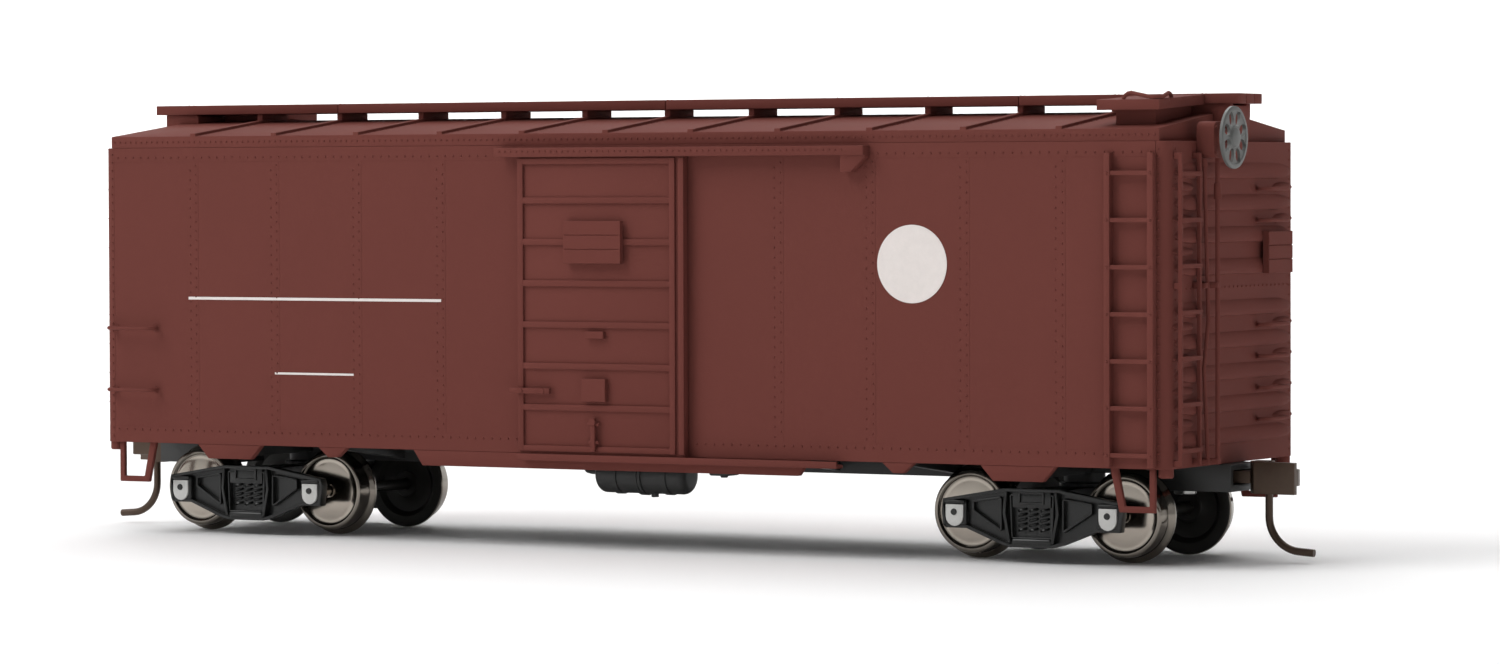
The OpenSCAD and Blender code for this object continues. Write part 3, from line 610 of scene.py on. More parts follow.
def turned_metal(name, centre):
    """Nickel silver, turned on a lathe, its back chemically blackened: a bright face with faint rings
    0.12 mm apart about the axle, a rim and tread painted darker as a painted reflection of dark surroundings,
    and a dull back. Centre is the axle's place."""
    material, shader = new_material(name)
    if not shader:
        return material
    metal = colour("wheel")
    place = add(material, "TexCoord", "Object", {})
    shift = {"Vector": place, "Location": (-centre[0] * MM, 0, -centre[2] * MM)}
    moved = add(material, "Mapping", 0, shift)
    flat = add(material, "VectorMath", 0, {0: moved, 1: (1, 0, 1)}, operation="MULTIPLY")
    radius = add(material, "VectorMath", "Value", {0: flat}, operation="LENGTH")
    phase = add(material, "Math", 0, {0: radius, 1: 2 * math.pi / (0.12 * MM)}, operation="MULTIPLY")
    rings = add(material, "Math", 0, {0: phase}, operation="SINE")
    spots = {"Vector": place, "Scale": 1 / (1.6 * MM), "Detail": 5, "Roughness": 0.6}
    stain = add(material, "TexNoise", "Fac", spots)
    tones = {0: stain, 6: shade(metal, 0.92), 7: shade(metal, 1.06)}
    face = add(material, "Mix", 2, tones, data_type="RGBA")
    # painted reflection: from the rim outwards the metal is painted darker, standing in for the dark
    # surroundings that the tread reflects
    step = {"Value": radius, "From Min": 3.75 * MM, "From Max": 3.95 * MM}
    rim = add(material, "MapRange", 0, step)
    face_with_painted_dark_rim = add(material, "Mix", 2, {0: rim, 6: face, 7: shade(metal, 0.6)}, data_type="RGBA")
    across = add(material, "SeparateXYZ", "Y", {"Vector": place})
    depth = add(material, "Math", 0, {0: across}, operation="ABSOLUTE")
    edge = {"From Min": 4.1 * MM, "From Max": 4.3 * MM, "To Min": 7.95 * MM, "To Max": 7.3 * MM}
    back = add(material, "MapRange", 0, {"Value": radius, **edge})
    dark = add(material, "Math", 0, {0: depth, 1: back}, operation="LESS_THAN")
    gloss = add(material, "MapRange", 0, {"Value": stain, "To Min": 0.1, "To Max": 0.18})
    ends = {0: dark, 6: face_with_painted_dark_rim, 7: colour("wheel_back")}
    relief = {"Strength": 0.3, "Distance": 0.001 * MM, "Height": rings}
    inputs = {
        "Base Color": add(material, "Mix", 2, ends, data_type="RGBA"),
        "Roughness": add(material, "Math", 0, {0: dark, 1: 0.3, 2: gloss}, operation="MULTIPLY_ADD"),
        "Metallic": add(material, "MapRange", 0, {"Value": dark, "To Min": 1, "To Max": 0.3}),
        "Normal": add(material, "Bump", "Normal", relief),
    }
    fill(material, shader, inputs)
    return material


def twins(piece, name, node, body, material, ends):
    """Finishes a piece and its half-turned copy, each with its own ending of names"""
    for made, end in zip((piece, half_turn(piece)), ends):
        finish(made, name + end, body + end, material, [node + end] if node else [])


def painted(piece, name, *nodes):
    """Finishes a brown piece of the body"""
    return finish(piece, name, "car_body", flat_enamel(), nodes)


def moulded(piece, name, *nodes):
    """Finishes a black piece of the underframe"""
    return finish(piece, name, "car_body", moulded_abs(), nodes)


# The body -----------------------------------------------------------------


class BOXCAR_OT_side_walls(bpy.types.Operator):
    """Side walls with lapped sheets and rivets"""

    bl_idname = "boxcar.side_walls"
    bl_label = "Side walls"

    def execute(self, context):
        face = -HALF_W
        near = pierced(WALL_LOW, WALL_HIGH, DOORWAY_LOW, DOORWAY_HIGH)
        strips = []
        band = 0.04
        for x in [s * seam for seam in SEAMS for s in (-1, 1)]:
            strips.append(box((x - 0.8, face - band / 2, SILL_Z + 1.9), (x + 0.8, face + band, EAVE_Z - 1.6)))
        strips.append(box((-WALL_X, face - band, EAVE_Z - 1.7), (WALL_X, face + band, EAVE_Z - 0.03)))
        for s in (-1, 1):
            low, high = sorted((s * (DOOR_HIGH.x + 0.1), s * WALL_X))
            strips.append(box((low, face - band, SILL_Z + 0.03), (high, face + band, SILL_Z + 2)))
        near = join([near] + strips)
        far = half_turn(near)
        rows = []
        low_z, high_z = SILL_Z + 2.6, EAVE_Z - 2.2
        for x in [s * seam for seam in SEAMS for s in (-1, 1)]:
            rows.append(rivets((x - 0.42, face, low_z), (x - 0.42, face, high_z - 0.6), "-Y"))
            rows.append(rivets((x + 0.42, face, low_z + 0.6), (x + 0.42, face, high_z), "-Y"))
        top = EAVE_Z - 1.2
        for start_x, end_x in ((-WALL_X + 0.6, -15.4), (36.2, WALL_X - 0.6)):
            rows.append(rivets((start_x, face - band, top), (end_x, face - band, top), "-Y"))
        for s in (-1, 1):
            start = (s * (DOOR_HIGH.x + 1), face - band, SILL_Z + 1.6)
            rows.append(rivets(start, (s * (WALL_X - 0.6), face - band, SILL_Z + 1.6), "-Y"))
            edge = s * (WALL_X + 0.32)
            rows.append(rivets((edge, face, SILL_Z + 0.8), (edge, face, EAVE_Z - 0.8), "-Y", pitch=1.0))
        heads = join(rows)
        far_heads = half_turn(heads)
        painted(near, "side_sheets_near", "side_wall_near")
        painted(far, "side_sheets_far", "side_wall_far")
        painted(heads, "side_rivets_near")
        painted(far_heads, "side_rivets_far")
        return {"FINISHED"}


RIB_H = 1.9
RIB_LINES = [SILL_Z + 2.25 + i * 3.6 for i in range(5)] + [EAVE_Z - 15 + i * 3.6 for i in range(4)]


def pressed_rib(z, y1, y2, depth, height, taper):
    """A rib pressed out of the end sheet: sharp below, sloping away above, pointed at both ends"""
    section = [(-0.12, 0), (0.25, 0), (0.85, 0.05), (1, 0.16), (0.98, 0.34), (0.74, 0.62), (0.35, 0.86)]
    section.append((-0.12, 1))
    swell = [(0, 0.06), (0.15, 0.45), (0.4, 0.78), (0.7, 0.95), (1, 1)]
    pivot = Vector((END_X, 0, z + height * 0.45))
    steps = [(y1 + f * taper, s) for f, s in swell] + [(y2 - f * taper, s) for f, s in reversed(swell)]
    piece = draw([(END_X + a * depth, y1, z + b * height) for a, b in section], closed=True)
    edit(piece, "EDGE", everything=True)
    bpy.ops.mesh.edge_face_add()
    last_y, last_size = y1, 1
    for y, new_size in steps:
        if y != y1:
            extrude((0, y - last_y, 0))
        ratio = new_size / last_size
        pivot.y = y
        bpy.ops.transform.resize(value=(ratio, 1, ratio), center_override=pivot * MM)
        last_y, last_size = y, new_size
    leave()
    return close_up(piece)


class BOXCAR_OT_end_walls(bpy.types.Operator):
    """End walls with pressed ribs, darts between them, and a riveted corner"""

    bl_idname = "boxcar.end_walls"
    bl_label = "End walls"

    def execute(self, context):
        sheet = box((WALL_X, -HALF_W, SILL_Z), (END_X, HALF_W, EAVE_Z))
        edit(sheet, "EDGE")
        pick(sheet, "EDGE", lambda place, way: place.x > END_X - 0.01 and abs(way.z) > 0.9)
        bpy.ops.mesh.bevel(offset=CORNER_R * MM, segments=6)
        leave()
        round_off(sheet, 0.05, 1, 60)
        pieces = [sheet]
        rib = pressed_rib(RIB_LINES[0], -HALF_W + 1.3, HALF_W - 1.3, 0.52, RIB_H, 4.5)
        dart = pressed_rib(RIB_LINES[0] + RIB_H + 0.35, -HALF_W + 0.9, -HALF_W + 6.4, 0.42, 1.0, 2.6)
        far_dart = half_turn_across(dart)
        for z in RIB_LINES:
            lift = (0, 0, z - RIB_LINES[0])
            pieces.append(duplicate(rib, lift))
            if z not in (RIB_LINES[4], RIB_LINES[-1]):
                pieces.append(duplicate(dart, lift))
                pieces.append(duplicate(far_dart, lift))
        for used in (rib, dart, far_dart):
            bpy.data.objects.remove(used)
        band_z = RIB_LINES[5] - 1.4
        pieces.append(rivets((END_X, -HALF_W + 2.2, band_z), (END_X, HALF_W - 2.2, band_z), "+X"))
        for s in (-1, 1):
            y = s * (HALF_W - 1.65)
            pieces.append(rivets((END_X, y, SILL_Z + 0.9), (END_X, y, EAVE_Z - 0.9), "+X", pitch=1.1))
        end_b = join(pieces)
        end_a = half_turn(end_b)
        painted(end_b, "end_sheet_b", "end_wall_b")
        painted(end_a, "end_sheet_a", "end_wall_a")
        return {"FINISHED"}


def half_turn_across(piece):
    """A mirrored copy on the other side of the car's middle"""
    copy = duplicate(piece)
    bpy.ops.transform.mirror(constraint_axis=(False, True, False), center_override=(0, 0, 0))
    settle()
    return close_up(copy)


CAP_PLACES = [0, 11.55, -11.55] + [s * seam for seam in SEAMS for s in (-1, 1)]


class BOXCAR_OT_roof(bpy.types.Operator):
    """Roof panels with seam caps and rivets"""

    bl_idname = "boxcar.roof"
    bl_label = "Roof"

    def execute(self, context):
        roof = soft_copy("roof", 0.07, 2)
        slope_rows = []
        inner, outer = 3.6, HALF_W - 0.7
        for x in CAP_PLACES:
            for side in (-1, 1):
                start = (x + side * 0.62, -outer, roof_z(outer) - 0.02)
                end = (x + side * 0.62, -inner, roof_z(inner) - 0.02)
                slope_rows.append(rivets(start, end, "+Z", pitch=1.3, diameter=0.36))
        flank_z = EAVE_Z + 0.7
        flank_x = ROOF_END - 0.5
        flank = rivets((-flank_x, -HALF_W, flank_z), (flank_x, -HALF_W, flank_z), "-Y", pitch=0.8)
        heads = both_sides(slope_rows + [flank])
        painted(roof, "roof_panels", "roof")
        painted(heads, "roof_rivets")
        return {"FINISHED"}


class BOXCAR_OT_roof_walks(bpy.types.Operator):
    """Planked running board, its saddles and the two side walks"""

    bl_idname = "boxcar.roof_walks"
    bl_label = "Roof walks"

    def execute(self, context):
        low, high = corners("running_board")
        gap = 0.12
        plank_w = (high.y - low.y - 2 * gap) / 3
        joints = [[-47.1, 0, 47.1], [-35.1, 23.1], [-59.1, -11.55, 35.1]]
        boards = [box((low.x + 0.2, low.y + 0.15, low.z), (high.x - 0.2, high.y - 0.15, high.z - 0.3))]
        for row, places in enumerate(joints):
            y = low.y + row * (plank_w + gap)
            ends = [low.x] + places + [high.x]
            for x1, x2 in zip(ends, ends[1:]):
                board = box((x1 + 0.04, y, low.z), (x2 - 0.04, y + plank_w, high.z))
                boards.append(round_off(board, 0.08, 2))
        for x in CAP_PLACES + [-70, 70]:
            for row in range(3):
                y = low.y + row * (plank_w + gap) + plank_w / 2
                boards += [rivet((x, y + s * 0.5, high.z - 0.05), "+Z", 0.3) for s in (-1, 1)]
        walk = join(boards)
        saddles = soft_copy("walk_saddles", 0.08)
        side = copy_of("side_walks")
        side_low, side_high = corners("side_walks")
        walk_y1, walk_y2 = low.y, side_low.y
        fall = 0.7
        for i in range(1, 4):
            y = walk_y2 + (walk_y1 - walk_y2) * i / 4
            top = side_high.z - fall * (walk_y1 - y) / (walk_y1 - walk_y2)
            for s in (-1, 1):
                groove = box((-90, s * y - 0.06, top - 0.22), (90, s * y + 0.06, top + 2))
                cut(side, groove)
        round_off(side, 0.1, 2)
        painted(walk, "running_boards", "running_board")
        painted(saddles, "walk_supports", "walk_saddles")
        painted(side, "side_walk_boards", "side_walks")
        return {"FINISHED"}


class BOXCAR_OT_doors(bpy.types.Operator):
    """Sliding doors with pressed ribs, boards and latches, and the tracks that they run on"""

    bl_idname = "boxcar.doors"
    bl_label = "Doors"

    def execute(self, context):
        crest, half = DOOR_LOW.y, DOOR_HIGH.x
        sheet_y, back_y = crest + 0.3, crest + 1
        bottom, top = DOOR_LOW.z + 0.4, EAVE_Z - 1.55
        panels = [round_off(box((-half, sheet_y, DOOR_LOW.z), (half, back_y, DOOR_HIGH.z)), 0.05, 2)]
        for x in (-half, half - 1.95, half - 0.75):
            stile = box((x, crest, bottom), (x + 0.75, sheet_y + 0.1, top))
            panels.append(round_off(stile, 0.06, 2))
        left, right = -half + 0.7, half - 1.9
        for z in (bottom, top - 0.7):
            panels.append(round_off(box((left, crest + 0.01, z), (right, sheet_y + 0.1, z + 0.7)), 0.06, 2))
        rib = box((left, crest + 0.01, bottom - 0.05), (right, sheet_y + 0.1, bottom + 0.7))
        rib = round_off(rib, 0.08, 2)
        for i in range(1, 7):
            panels.append(duplicate(rib, (0, 0, 4.87 * i)))
        bpy.data.objects.remove(rib)
        door = join(panels)
        boards = copy_of("door_boards_near")
        board_low, board_high = corners("door_boards_near")
        for share in (1 / 3, 2 / 3):
            z = board_high.z - 5 * share
            cut(boards, box((-4.4, board_low.y - 1, z - 0.05), (3.0, board_low.y + 0.12, z + 0.05)))
        round_off(boards, 0.06, 1, 40)
        latch = soft_copy("door_latch_near", 0.1, 2)
        latch_low, latch_high = corners("door_latch_near")
        keeper_z = latch_low.z + 4.1
        bits = [
            latch,
            stub((-0.8, latch_low.y + 0.25, keeper_z - 0.6), "-Y", 0.42, 0.35),
            round_off(box((-1.6, crest - 0.3, keeper_z - 1.1), (0, crest, keeper_z - 0.7)), 0.08, 1),
            round_off(box((-1.5, crest - 0.3, latch_low.z + 0.9), (-0.1, crest, latch_low.z + 1.3)), 0.08, 1),
        ]
        for x in (latch_low.x + 1.6, latch_low.x + 4.6):
            bits.append(stub((x, latch_low.y + 0.1, latch_high.z - 0.35), "-Y", 0.3, 0.15, sides=12))
        latch = join(bits)
        for piece, name, node in ((door, "sliding_door", "door"), (boards, "card_boards", "door_boards"),
                                  (latch, "door_bolt", "door_latch")):
            twins(piece, name, node, "door", flat_enamel(), ("_near", "_far"))
        track_low = corners("upper_door_tracks")[0]
        dots = rivets((-13.6, track_low.y, EAVE_Z - 0.75), (32.4, track_low.y, EAVE_Z - 0.75), "-Y", 0.8, 0.3)
        upper = join([soft_copy("upper_door_tracks", 0.08), both_sides([dots])])
        painted(upper, "upper_door_rails", "upper_door_tracks")
        painted(soft_copy("lower_door_tracks", 0.08), "lower_door_rails", "lower_door_tracks")
        return {"FINISHED"}


# Climbing gear ------------------------------------------------------------

RUNG_Z = [SILL_Z + 1.5 + i * 5.22 for i in range(7)]


class BOXCAR_OT_ladders(bpy.types.Operator):
    """Ladders with rounded rungs and bolt heads"""

    bl_idname = "boxcar.ladders"
    bl_label = "Ladders"

    def execute(self, context):
        low, high = corners("side_ladders")
        bolts = []
        for x in (high.x - 0.35, high.x - 5.65):
            for z in RUNG_Z:
                bolts.append(rivet((x, low.y, z), "-Y", 0.4))
        side = join([soft_copy("side_ladders", 0.13), both_sides(bolts)])
        painted(side, "ladders_side", "side_ladders")
        painted(soft_copy("end_ladders", 0.12), "ladders_end", "end_ladders")
        return {"FINISHED"}


def grab_iron(start, end, out, face):
    """A wire handrail from start to end that stands off a face, with a bolted foot at each end"""
    radius = size("wire_d") / 2
    away = DIRECTIONS[face]
    start, end = Vector(start), Vector(end)
    along = (end - start).normalized() * radius
    corners_of_rail = [start + along, start + along + away * out, end - along + away * out, end - along]
    rail = wire(bent(corners_of_rail, 0.5), radius)
    feet = [stub(p, face, 0.42, 0.16, tip=0.34, sides=12) for p in (start + along, end - along)]
    return join([rail] + feet)


class BOXCAR_OT_grab_irons(bpy.types.Operator):
    """Wire grab irons, corner rails, stirrup steps and poling pockets"""

    bl_idname = "boxcar.grab_irons"
    bl_label = "Grab irons and steps"

    def execute(self, context):
        out = 1.15
        irons = []
        for z in (SILL_Z + 6.55, SILL_Z + 14.15):
            irons.append(grab_iron((-END_X + 1.6, -HALF_W, z), (-END_X + 8, -HALF_W, z), out, "-Y"))
        for z in [line + 2.45 for line in RIB_LINES[:4] + RIB_LINES[6:8]]:
            irons.append(grab_iron((END_X, HALF_W - 11.1, z), (END_X, HALF_W - 5.2, z), out, "+X"))
        low, high = corners("side_walks")
        radius = size("wire_d") / 2
        rail_z = high.z - 0.42
        x1, x2, y1, y2 = high.x - 4.2, high.x - 0.6, low.y + 0.6, low.y + 4.2
        foot_z = high.z - 1.2
        rail = [(x1, y1, foot_z), (x1, y1, rail_z), (x2, y1, rail_z)]
        rail += [(x2, y2, rail_z), (x2, y2, foot_z + 0.4)]
        irons.append(wire(bent(rail, 0.5), radius))
        irons.append(wire([(x2 - 0.35, y1 + 0.35, foot_z), (x2 - 0.35, y1 + 0.35, rail_z)], radius))
        rails = both_sides(irons)
        steps = soft_copy("stirrup_steps", 0.12, 2)
        pocket_low, pocket_high = corners("poling_pockets")
        top, bottom, r = pocket_high.z, pocket_low.z, 0.85
        cup = [(0, top), (r, top), (r, bottom + 0.15), (r - 0.12, bottom), (r - 0.3, bottom),
               (r - 0.45, bottom + 0.3), (0, bottom + 0.4)]
        x, y = pocket_high.x - r, pocket_high.y - r
        pockets = [lathe(cup, (x, s * y, 0), "+Z", 24) for s in (-1, 1)]
        pockets = both_sides(pockets)
        painted(rails, "grab_rails", "grab_irons")
        painted(steps, "stirrups", "stirrup_steps")
        painted(pockets, "corner_pockets", "poling_pockets")
        return {"FINISHED"}


# Brake gear ---------------------------------------------------------------


class BOXCAR_OT_brake_gear(bpy.types.Operator):
    """Hand brake wheel and housing, brake rod, retainer pipe and end boards"""

    bl_idname = "boxcar.brake_gear"
    bl_label = "Brake gear"

    def execute(self, context):
        low, high = corners("brake_wheel")
        y, z = (low.y + high.y) / 2, (low.z + high.z) / 2
        r = (high.z - low.z) / 2
        dish = lathe(
            [(0, 0.15), (r - 0.25, 0.15), (r, 0.2), (r, 0.5), (r - 0.15, 0.6), (r - 0.5, 0.6), (r - 0.6, 0.5),
             (1.2, 0.5), (1.05, 0.75), (0.75, 0.88), (0, 0.9)],
            (low.x, y, z), "+X", 64,
        )
        openings = 8
        for i in range(openings):
            angle = (i + 0.5) * 2 * math.pi / openings
            hole = stub((0, 0, 0), "+X", 1, 4, sides=24)
            select(hole)
            bpy.ops.transform.resize(value=(1, 0.62, 0.86), center_override=(0, 0, 0))
            bpy.ops.transform.translate(value=(-2 * MM, 0, 2.2 * MM))
            bpy.ops.transform.rotate(value=angle, orient_axis="X", center_override=(0, 0, 0))
            bpy.ops.transform.translate(value=(low.x * MM, y * MM, z * MM))
            settle()
            cut(dish, hole)
        round_off(dish, 0.06, 2, 40)
        finish(dish, "hand_brake_wheel", "car_body", grey_styrene(), ["brake_wheel"])

        low, high = corners("brake_housing")
        case = box((low.x, low.y, low.z), (low.x + 2.2, high.y, high.z))
        edit(case, "EDGE")
        pick(case, "EDGE", lambda place, way: abs(way.x) > 0.9)
        bpy.ops.mesh.bevel(offset=0.9 * MM, segments=4)
        leave()
        round_off(case, 0.15, 2)
        parts = [case, stub((low.x + 2.0, y, z), "+X", 0.6, high.x - low.x - 2.1, sides=16),
                 stub((low.x + 2.1, y, z), "+X", 1.2, 0.35, tip=1.0)]
        for dy in (-1.3, 1.3):
            for dz in (0.6, 3.5):
                parts.append(stub((low.x + 2.15, y + dy, low.z + dz), "+X", 0.22, 0.2, sides=6))
        painted(join(parts), "brake_gear_case", "brake_housing")

        low, high = corners("brake_rod")
        rod_x = high.x - 0.25
        rod = [wire([(rod_x, y, low.z), (rod_x, y, high.z + 0.4)], 0.28)]
        for bracket_z in (low.z, RIB_LINES[5] - 1.4):
            rod.append(round_off(box((END_X, y - 0.5, bracket_z), (high.x, y + 0.5, bracket_z + 0.7)), 0.12))
        rod.append(stub((rod_x, y, high.z - 4.6), "+Z", 0.45, 1.8, tip=0.4, sides=16))
        painted(join(rod), "brake_staff", "brake_rod")

        low, high = corners("retainer_pipe")
        x = high.x - 0.25
        top_y, low_y = low.y + 0.25, high.y - 0.25
        band_z = RIB_LINES[5] - 1.4
        bend_z = band_z - 3.6
        line = [(x, top_y, high.z), (x, top_y, bend_z), (x, low_y, bend_z - 5.3), (x, low_y, low.z)]
        pipe = [wire(bent(line, 2), 0.24), stub((x, top_y, high.z - 0.5), "+Z", 0.42, 0.8, tip=0.3, sides=12)]
        for clip_y, clip_z in ((top_y, band_z), (low_y, low.z)):
            clip = box((END_X, clip_y - 0.35, clip_z), (x + 0.3, clip_y + 0.35, clip_z + 0.6))
            pipe.append(round_off(clip, 0.1))
        painted(join(pipe), "retainer_line", "retainer_pipe")

        boards = copy_of("end_boards")
        low, high = corners("end_boards")
        for share in (1 / 3, 2 / 3):
            groove_z = low.z + 4.8 * share
            for x1, x2 in ((-90, -high.x + 0.12), (high.x - 0.12, 90)):
                cut(boards, box((x1, -90, groove_z - 0.05), (x2, 90, groove_z + 0.05)))
        round_off(boards, 0.06, 1)
        painted(boards, "end_card_boards", "end_boards")
        return {"FINISHED"}


class BOXCAR_OT_air_brake(bpy.types.Operator):
    """Air tank, brake cylinder and control valve under the floor"""

    bl_idname = "boxcar.air_brake"
    bl_label = "Air brake"

    def execute(self, context):
        low, high = corners("air_reservoir")
        x1, x2 = low.x, high.x
        y, r = (low.y + high.y) / 2, 2.2
        z = low.z + r + 0.25
        half = (x2 - x1) / 2
        angles = [math.radians(15 * i) for i in range(7)]
        curve = [(r - 1 + math.sin(a), half - 1 + math.cos(a)) for a in angles]
        profile = [(0, half)] + curve + [(r, 0.45), (r + 0.2, 0.4), (r + 0.2, 0.05), (r, 0)]
        profile += [(rr, -d) for rr, d in reversed(profile)][1:]
        tank = [lathe(profile, ((x1 + x2) / 2, y, z), "+X", 40)]
        tank.append(stub(((x1 + x2) / 2 + 1.2, y, z - r + 0.1), "-Z", 0.45, 0.5, sides=12))
        for x in (x1 + 2.4, x2 - 3.2):
            hanger = box((x, y - 1.3, z + 1), (x + 0.9, y + 1.3, high.z))
            tank.append(round_off(hanger, 0.12))
            band = [(r, -0.4), (r + 0.12, -0.4), (r + 0.12, 0.4), (r, 0.4)]
            tank.append(lathe(band, (x + 0.45, y, z), "+X", 40, True))
        moulded(join(tank), "air_tank", "air_reservoir")

        low, high = corners("brake_cylinder")
        y, z = (low.y + high.y) / 2, low.z + 2.1
        barrel = [(0, 0), (1.3, 0), (1.6, 0.3), (1.7, 0.8), (1.7, 6.3), (2.1, 6.4), (2.1, 7.1), (1.9, 7.2),
                  (0.9, 7.7), (0.4, 7.9), (0.4, high.x - low.x), (0, high.x - low.x)]
        cylinder = [lathe(barrel, (low.x, y, z), "+X", 36)]
        cylinder.append(round_off(box((low.x + 1.4, y - 0.9, z + 1.2), (low.x + 5.2, y + 0.9, high.z)), 0.12))
        for i in range(6):
            a = i * math.pi / 3
            bolt = (low.x + 6.2, y + 1.85 * math.cos(a), z + 1.85 * math.sin(a))
            cylinder.append(stub(bolt, "+X", 0.2, 1.15, sides=6))
        moulded(join(cylinder), "air_cylinder", "brake_cylinder")

        low, high = corners("control_valve")
        y = (low.y + high.y) / 2
        valve = [soft_copy("control_valve", 0.3, 3)]
        for s, way in ((-1, "-Y"), (1, "+Y")):
            cover = ((low.x + high.x) / 2, y + s * 1.7, high.z - 1.5)
            valve.append(stub(cover, way, 0.75, 0.3, tip=0.6, sides=20))
        valve.append(stub(((low.x + high.x) / 2, y, low.z + 0.2), "-Z", 0.6, 0.45, tip=0.4, sides=16))
        moulded(join(valve), "brake_valve", "control_valve")
        return {"FINISHED"}


# Underframe ---------------------------------------------------------------


class BOXCAR_OT_underframe(bpy.types.Operator):
    """Floor, sills, bolsters, bearers and weight"""

    bl_idname = "boxcar.underframe"
    bl_label = "Underframe"

    def execute(self, context):
        floor_z = corners("floor")[0].z
        stringers = []
        for y in (5.2, 8.4, 11.6):
            strip_x = TRUCK_X - 14
            strip = box((-strip_x, -y - 0.25, floor_z - 0.45), (strip_x, -y + 0.25, floor_z + 0.1))
            stringers.append(round_off(strip, 0.08, 1))
        deck = join([soft_copy("floor", 0.05, 1), both_sides(stringers)])
        moulded(deck, "floor_pan", "floor")
        for node, name, radius in (
            ("centre_sill", "centre_beam", 0.1),
            ("body_bolsters", "bolster_beams", 0.12),
            ("cross_bearers", "bearers", 0.08),
            ("coupler_boxes", "draft_boxes", 0.12),
        ):
            moulded(soft_copy(node, radius), name, node)
        painted(soft_copy("side_sills", 0.08), "sill_plates", "side_sills")
        weight = soft_copy("weight_block", 0.15)
        finish(weight, "steel_weight", "car_body", rolled_steel(), ["weight_block"])
        return {"FINISHED"}


def slotted_head(place, radius, height):
    """A screw head that faces down, with a slot across it"""
    head = lathe(
        [(0, 0), (radius - 0.15, 0), (radius, 0.12), (radius, height), (0, height)], place, "+Z", 28
    )
    x, y, z = place
    return cut(head, box((x - radius - 1, y - 0.14, z - 1), (x + radius + 1, y + 0.14, z + height * 0.6)))


class BOXCAR_OT_screws(bpy.types.Operator):
    """Screws of the trucks and coupler boxes"""

    bl_idname = "boxcar.screws"
    bl_label = "Screws"

    def execute(self, context):
        low, high = corners("truck_screws")
        shank = stub((TRUCK_X, 0, low.z + 0.4), "+Z", 1, high.z - low.z - 0.4)
        screws = both_sides([slotted_head((TRUCK_X, 0, low.z), 1.8, 0.55), shank])
        finish(screws, "swivel_screws", "car_body", plated_screw(), ["truck_screws"])
        low, high = corners("coupler_box_screws")
        x = high.x - 1.3
        shank = stub((x, 0, low.z + 0.5), "+Z", 0.7, high.z - low.z - 0.5)
        screws = both_sides([slotted_head((x, 0, low.z), 1.3, 0.58), shank])
        finish(screws, "box_screws", "car_body", plated_screw(), ["coupler_box_screws"])
        return {"FINISHED"}


class BOXCAR_OT_couplers(bpy.types.Operator):
    """Couplers, knuckles and trip pins"""

    bl_idname = "boxcar.couplers"
    bl_label = "Couplers"

    def execute(self, context):
        head = soft_copy("coupler_b", 0.14, 3, 40)
        knuckle = soft_copy("knuckle_b", 0.14, 3, 40)
        low, high = corners("trip_pin_b")
        radius = (high.y - low.y) / 2
        x, y = low.x + radius, (low.y + high.y) / 2
        bend, sweep, tail = 3.9, math.radians(86), 1.9
        bend_z = low.z + radius + bend * math.sin(sweep) + tail * math.cos(sweep)
        path = [(x, y, high.z), (x, y, bend_z)]
        steps = 12
        for i in range(1, steps + 1):
            a = sweep * i / steps
            path.append((x + bend * (1 - math.cos(a)), y, bend_z - bend * math.sin(a)))
        ex, _, ez = path[-1]
        path.append((ex + tail * math.sin(sweep), y, ez - tail * math.cos(sweep)))
        pin = wire(path, radius, roundness=4)
        for piece, name, node, body in (
            (head, "coupler_head", "coupler", "coupler"),
            (knuckle, "coupler_jaw", "knuckle", "knuckle"),
            (pin, "uncoupling_pin", "trip_pin", "knuckle"),
        ):
            twins(piece, name, node, body, blackened_zinc(), ("_b", "_a"))
        return {"FINISHED"}


# Trucks -------------------------------------------------------------------


def frame_points(y):
    """Outline of a cast side frame about its truck's centre"""
    top, chord = AXLE_Z + 2.85, AXLE_Z - 3.45
    half = [(-WHEEL_X - 1.6, AXLE_Z + 0.9), (-WHEEL_X - 1.4, AXLE_Z + 1.55), (-3.4, top)]
    under = [(-2.6, chord), (-3.9, chord + 0.35)]
    under += [(-WHEEL_X + 1.5, AXLE_Z - 1.45), (-WHEEL_X - 1.3, AXLE_Z - 1.45)]
    upper = half + [(-x, z) for x, z in reversed(half)]
    lower = [(-x, z) for x, z in reversed(under)] + under
    return [(TRUCK_X + x, y, z) for x, z in upper + lower]


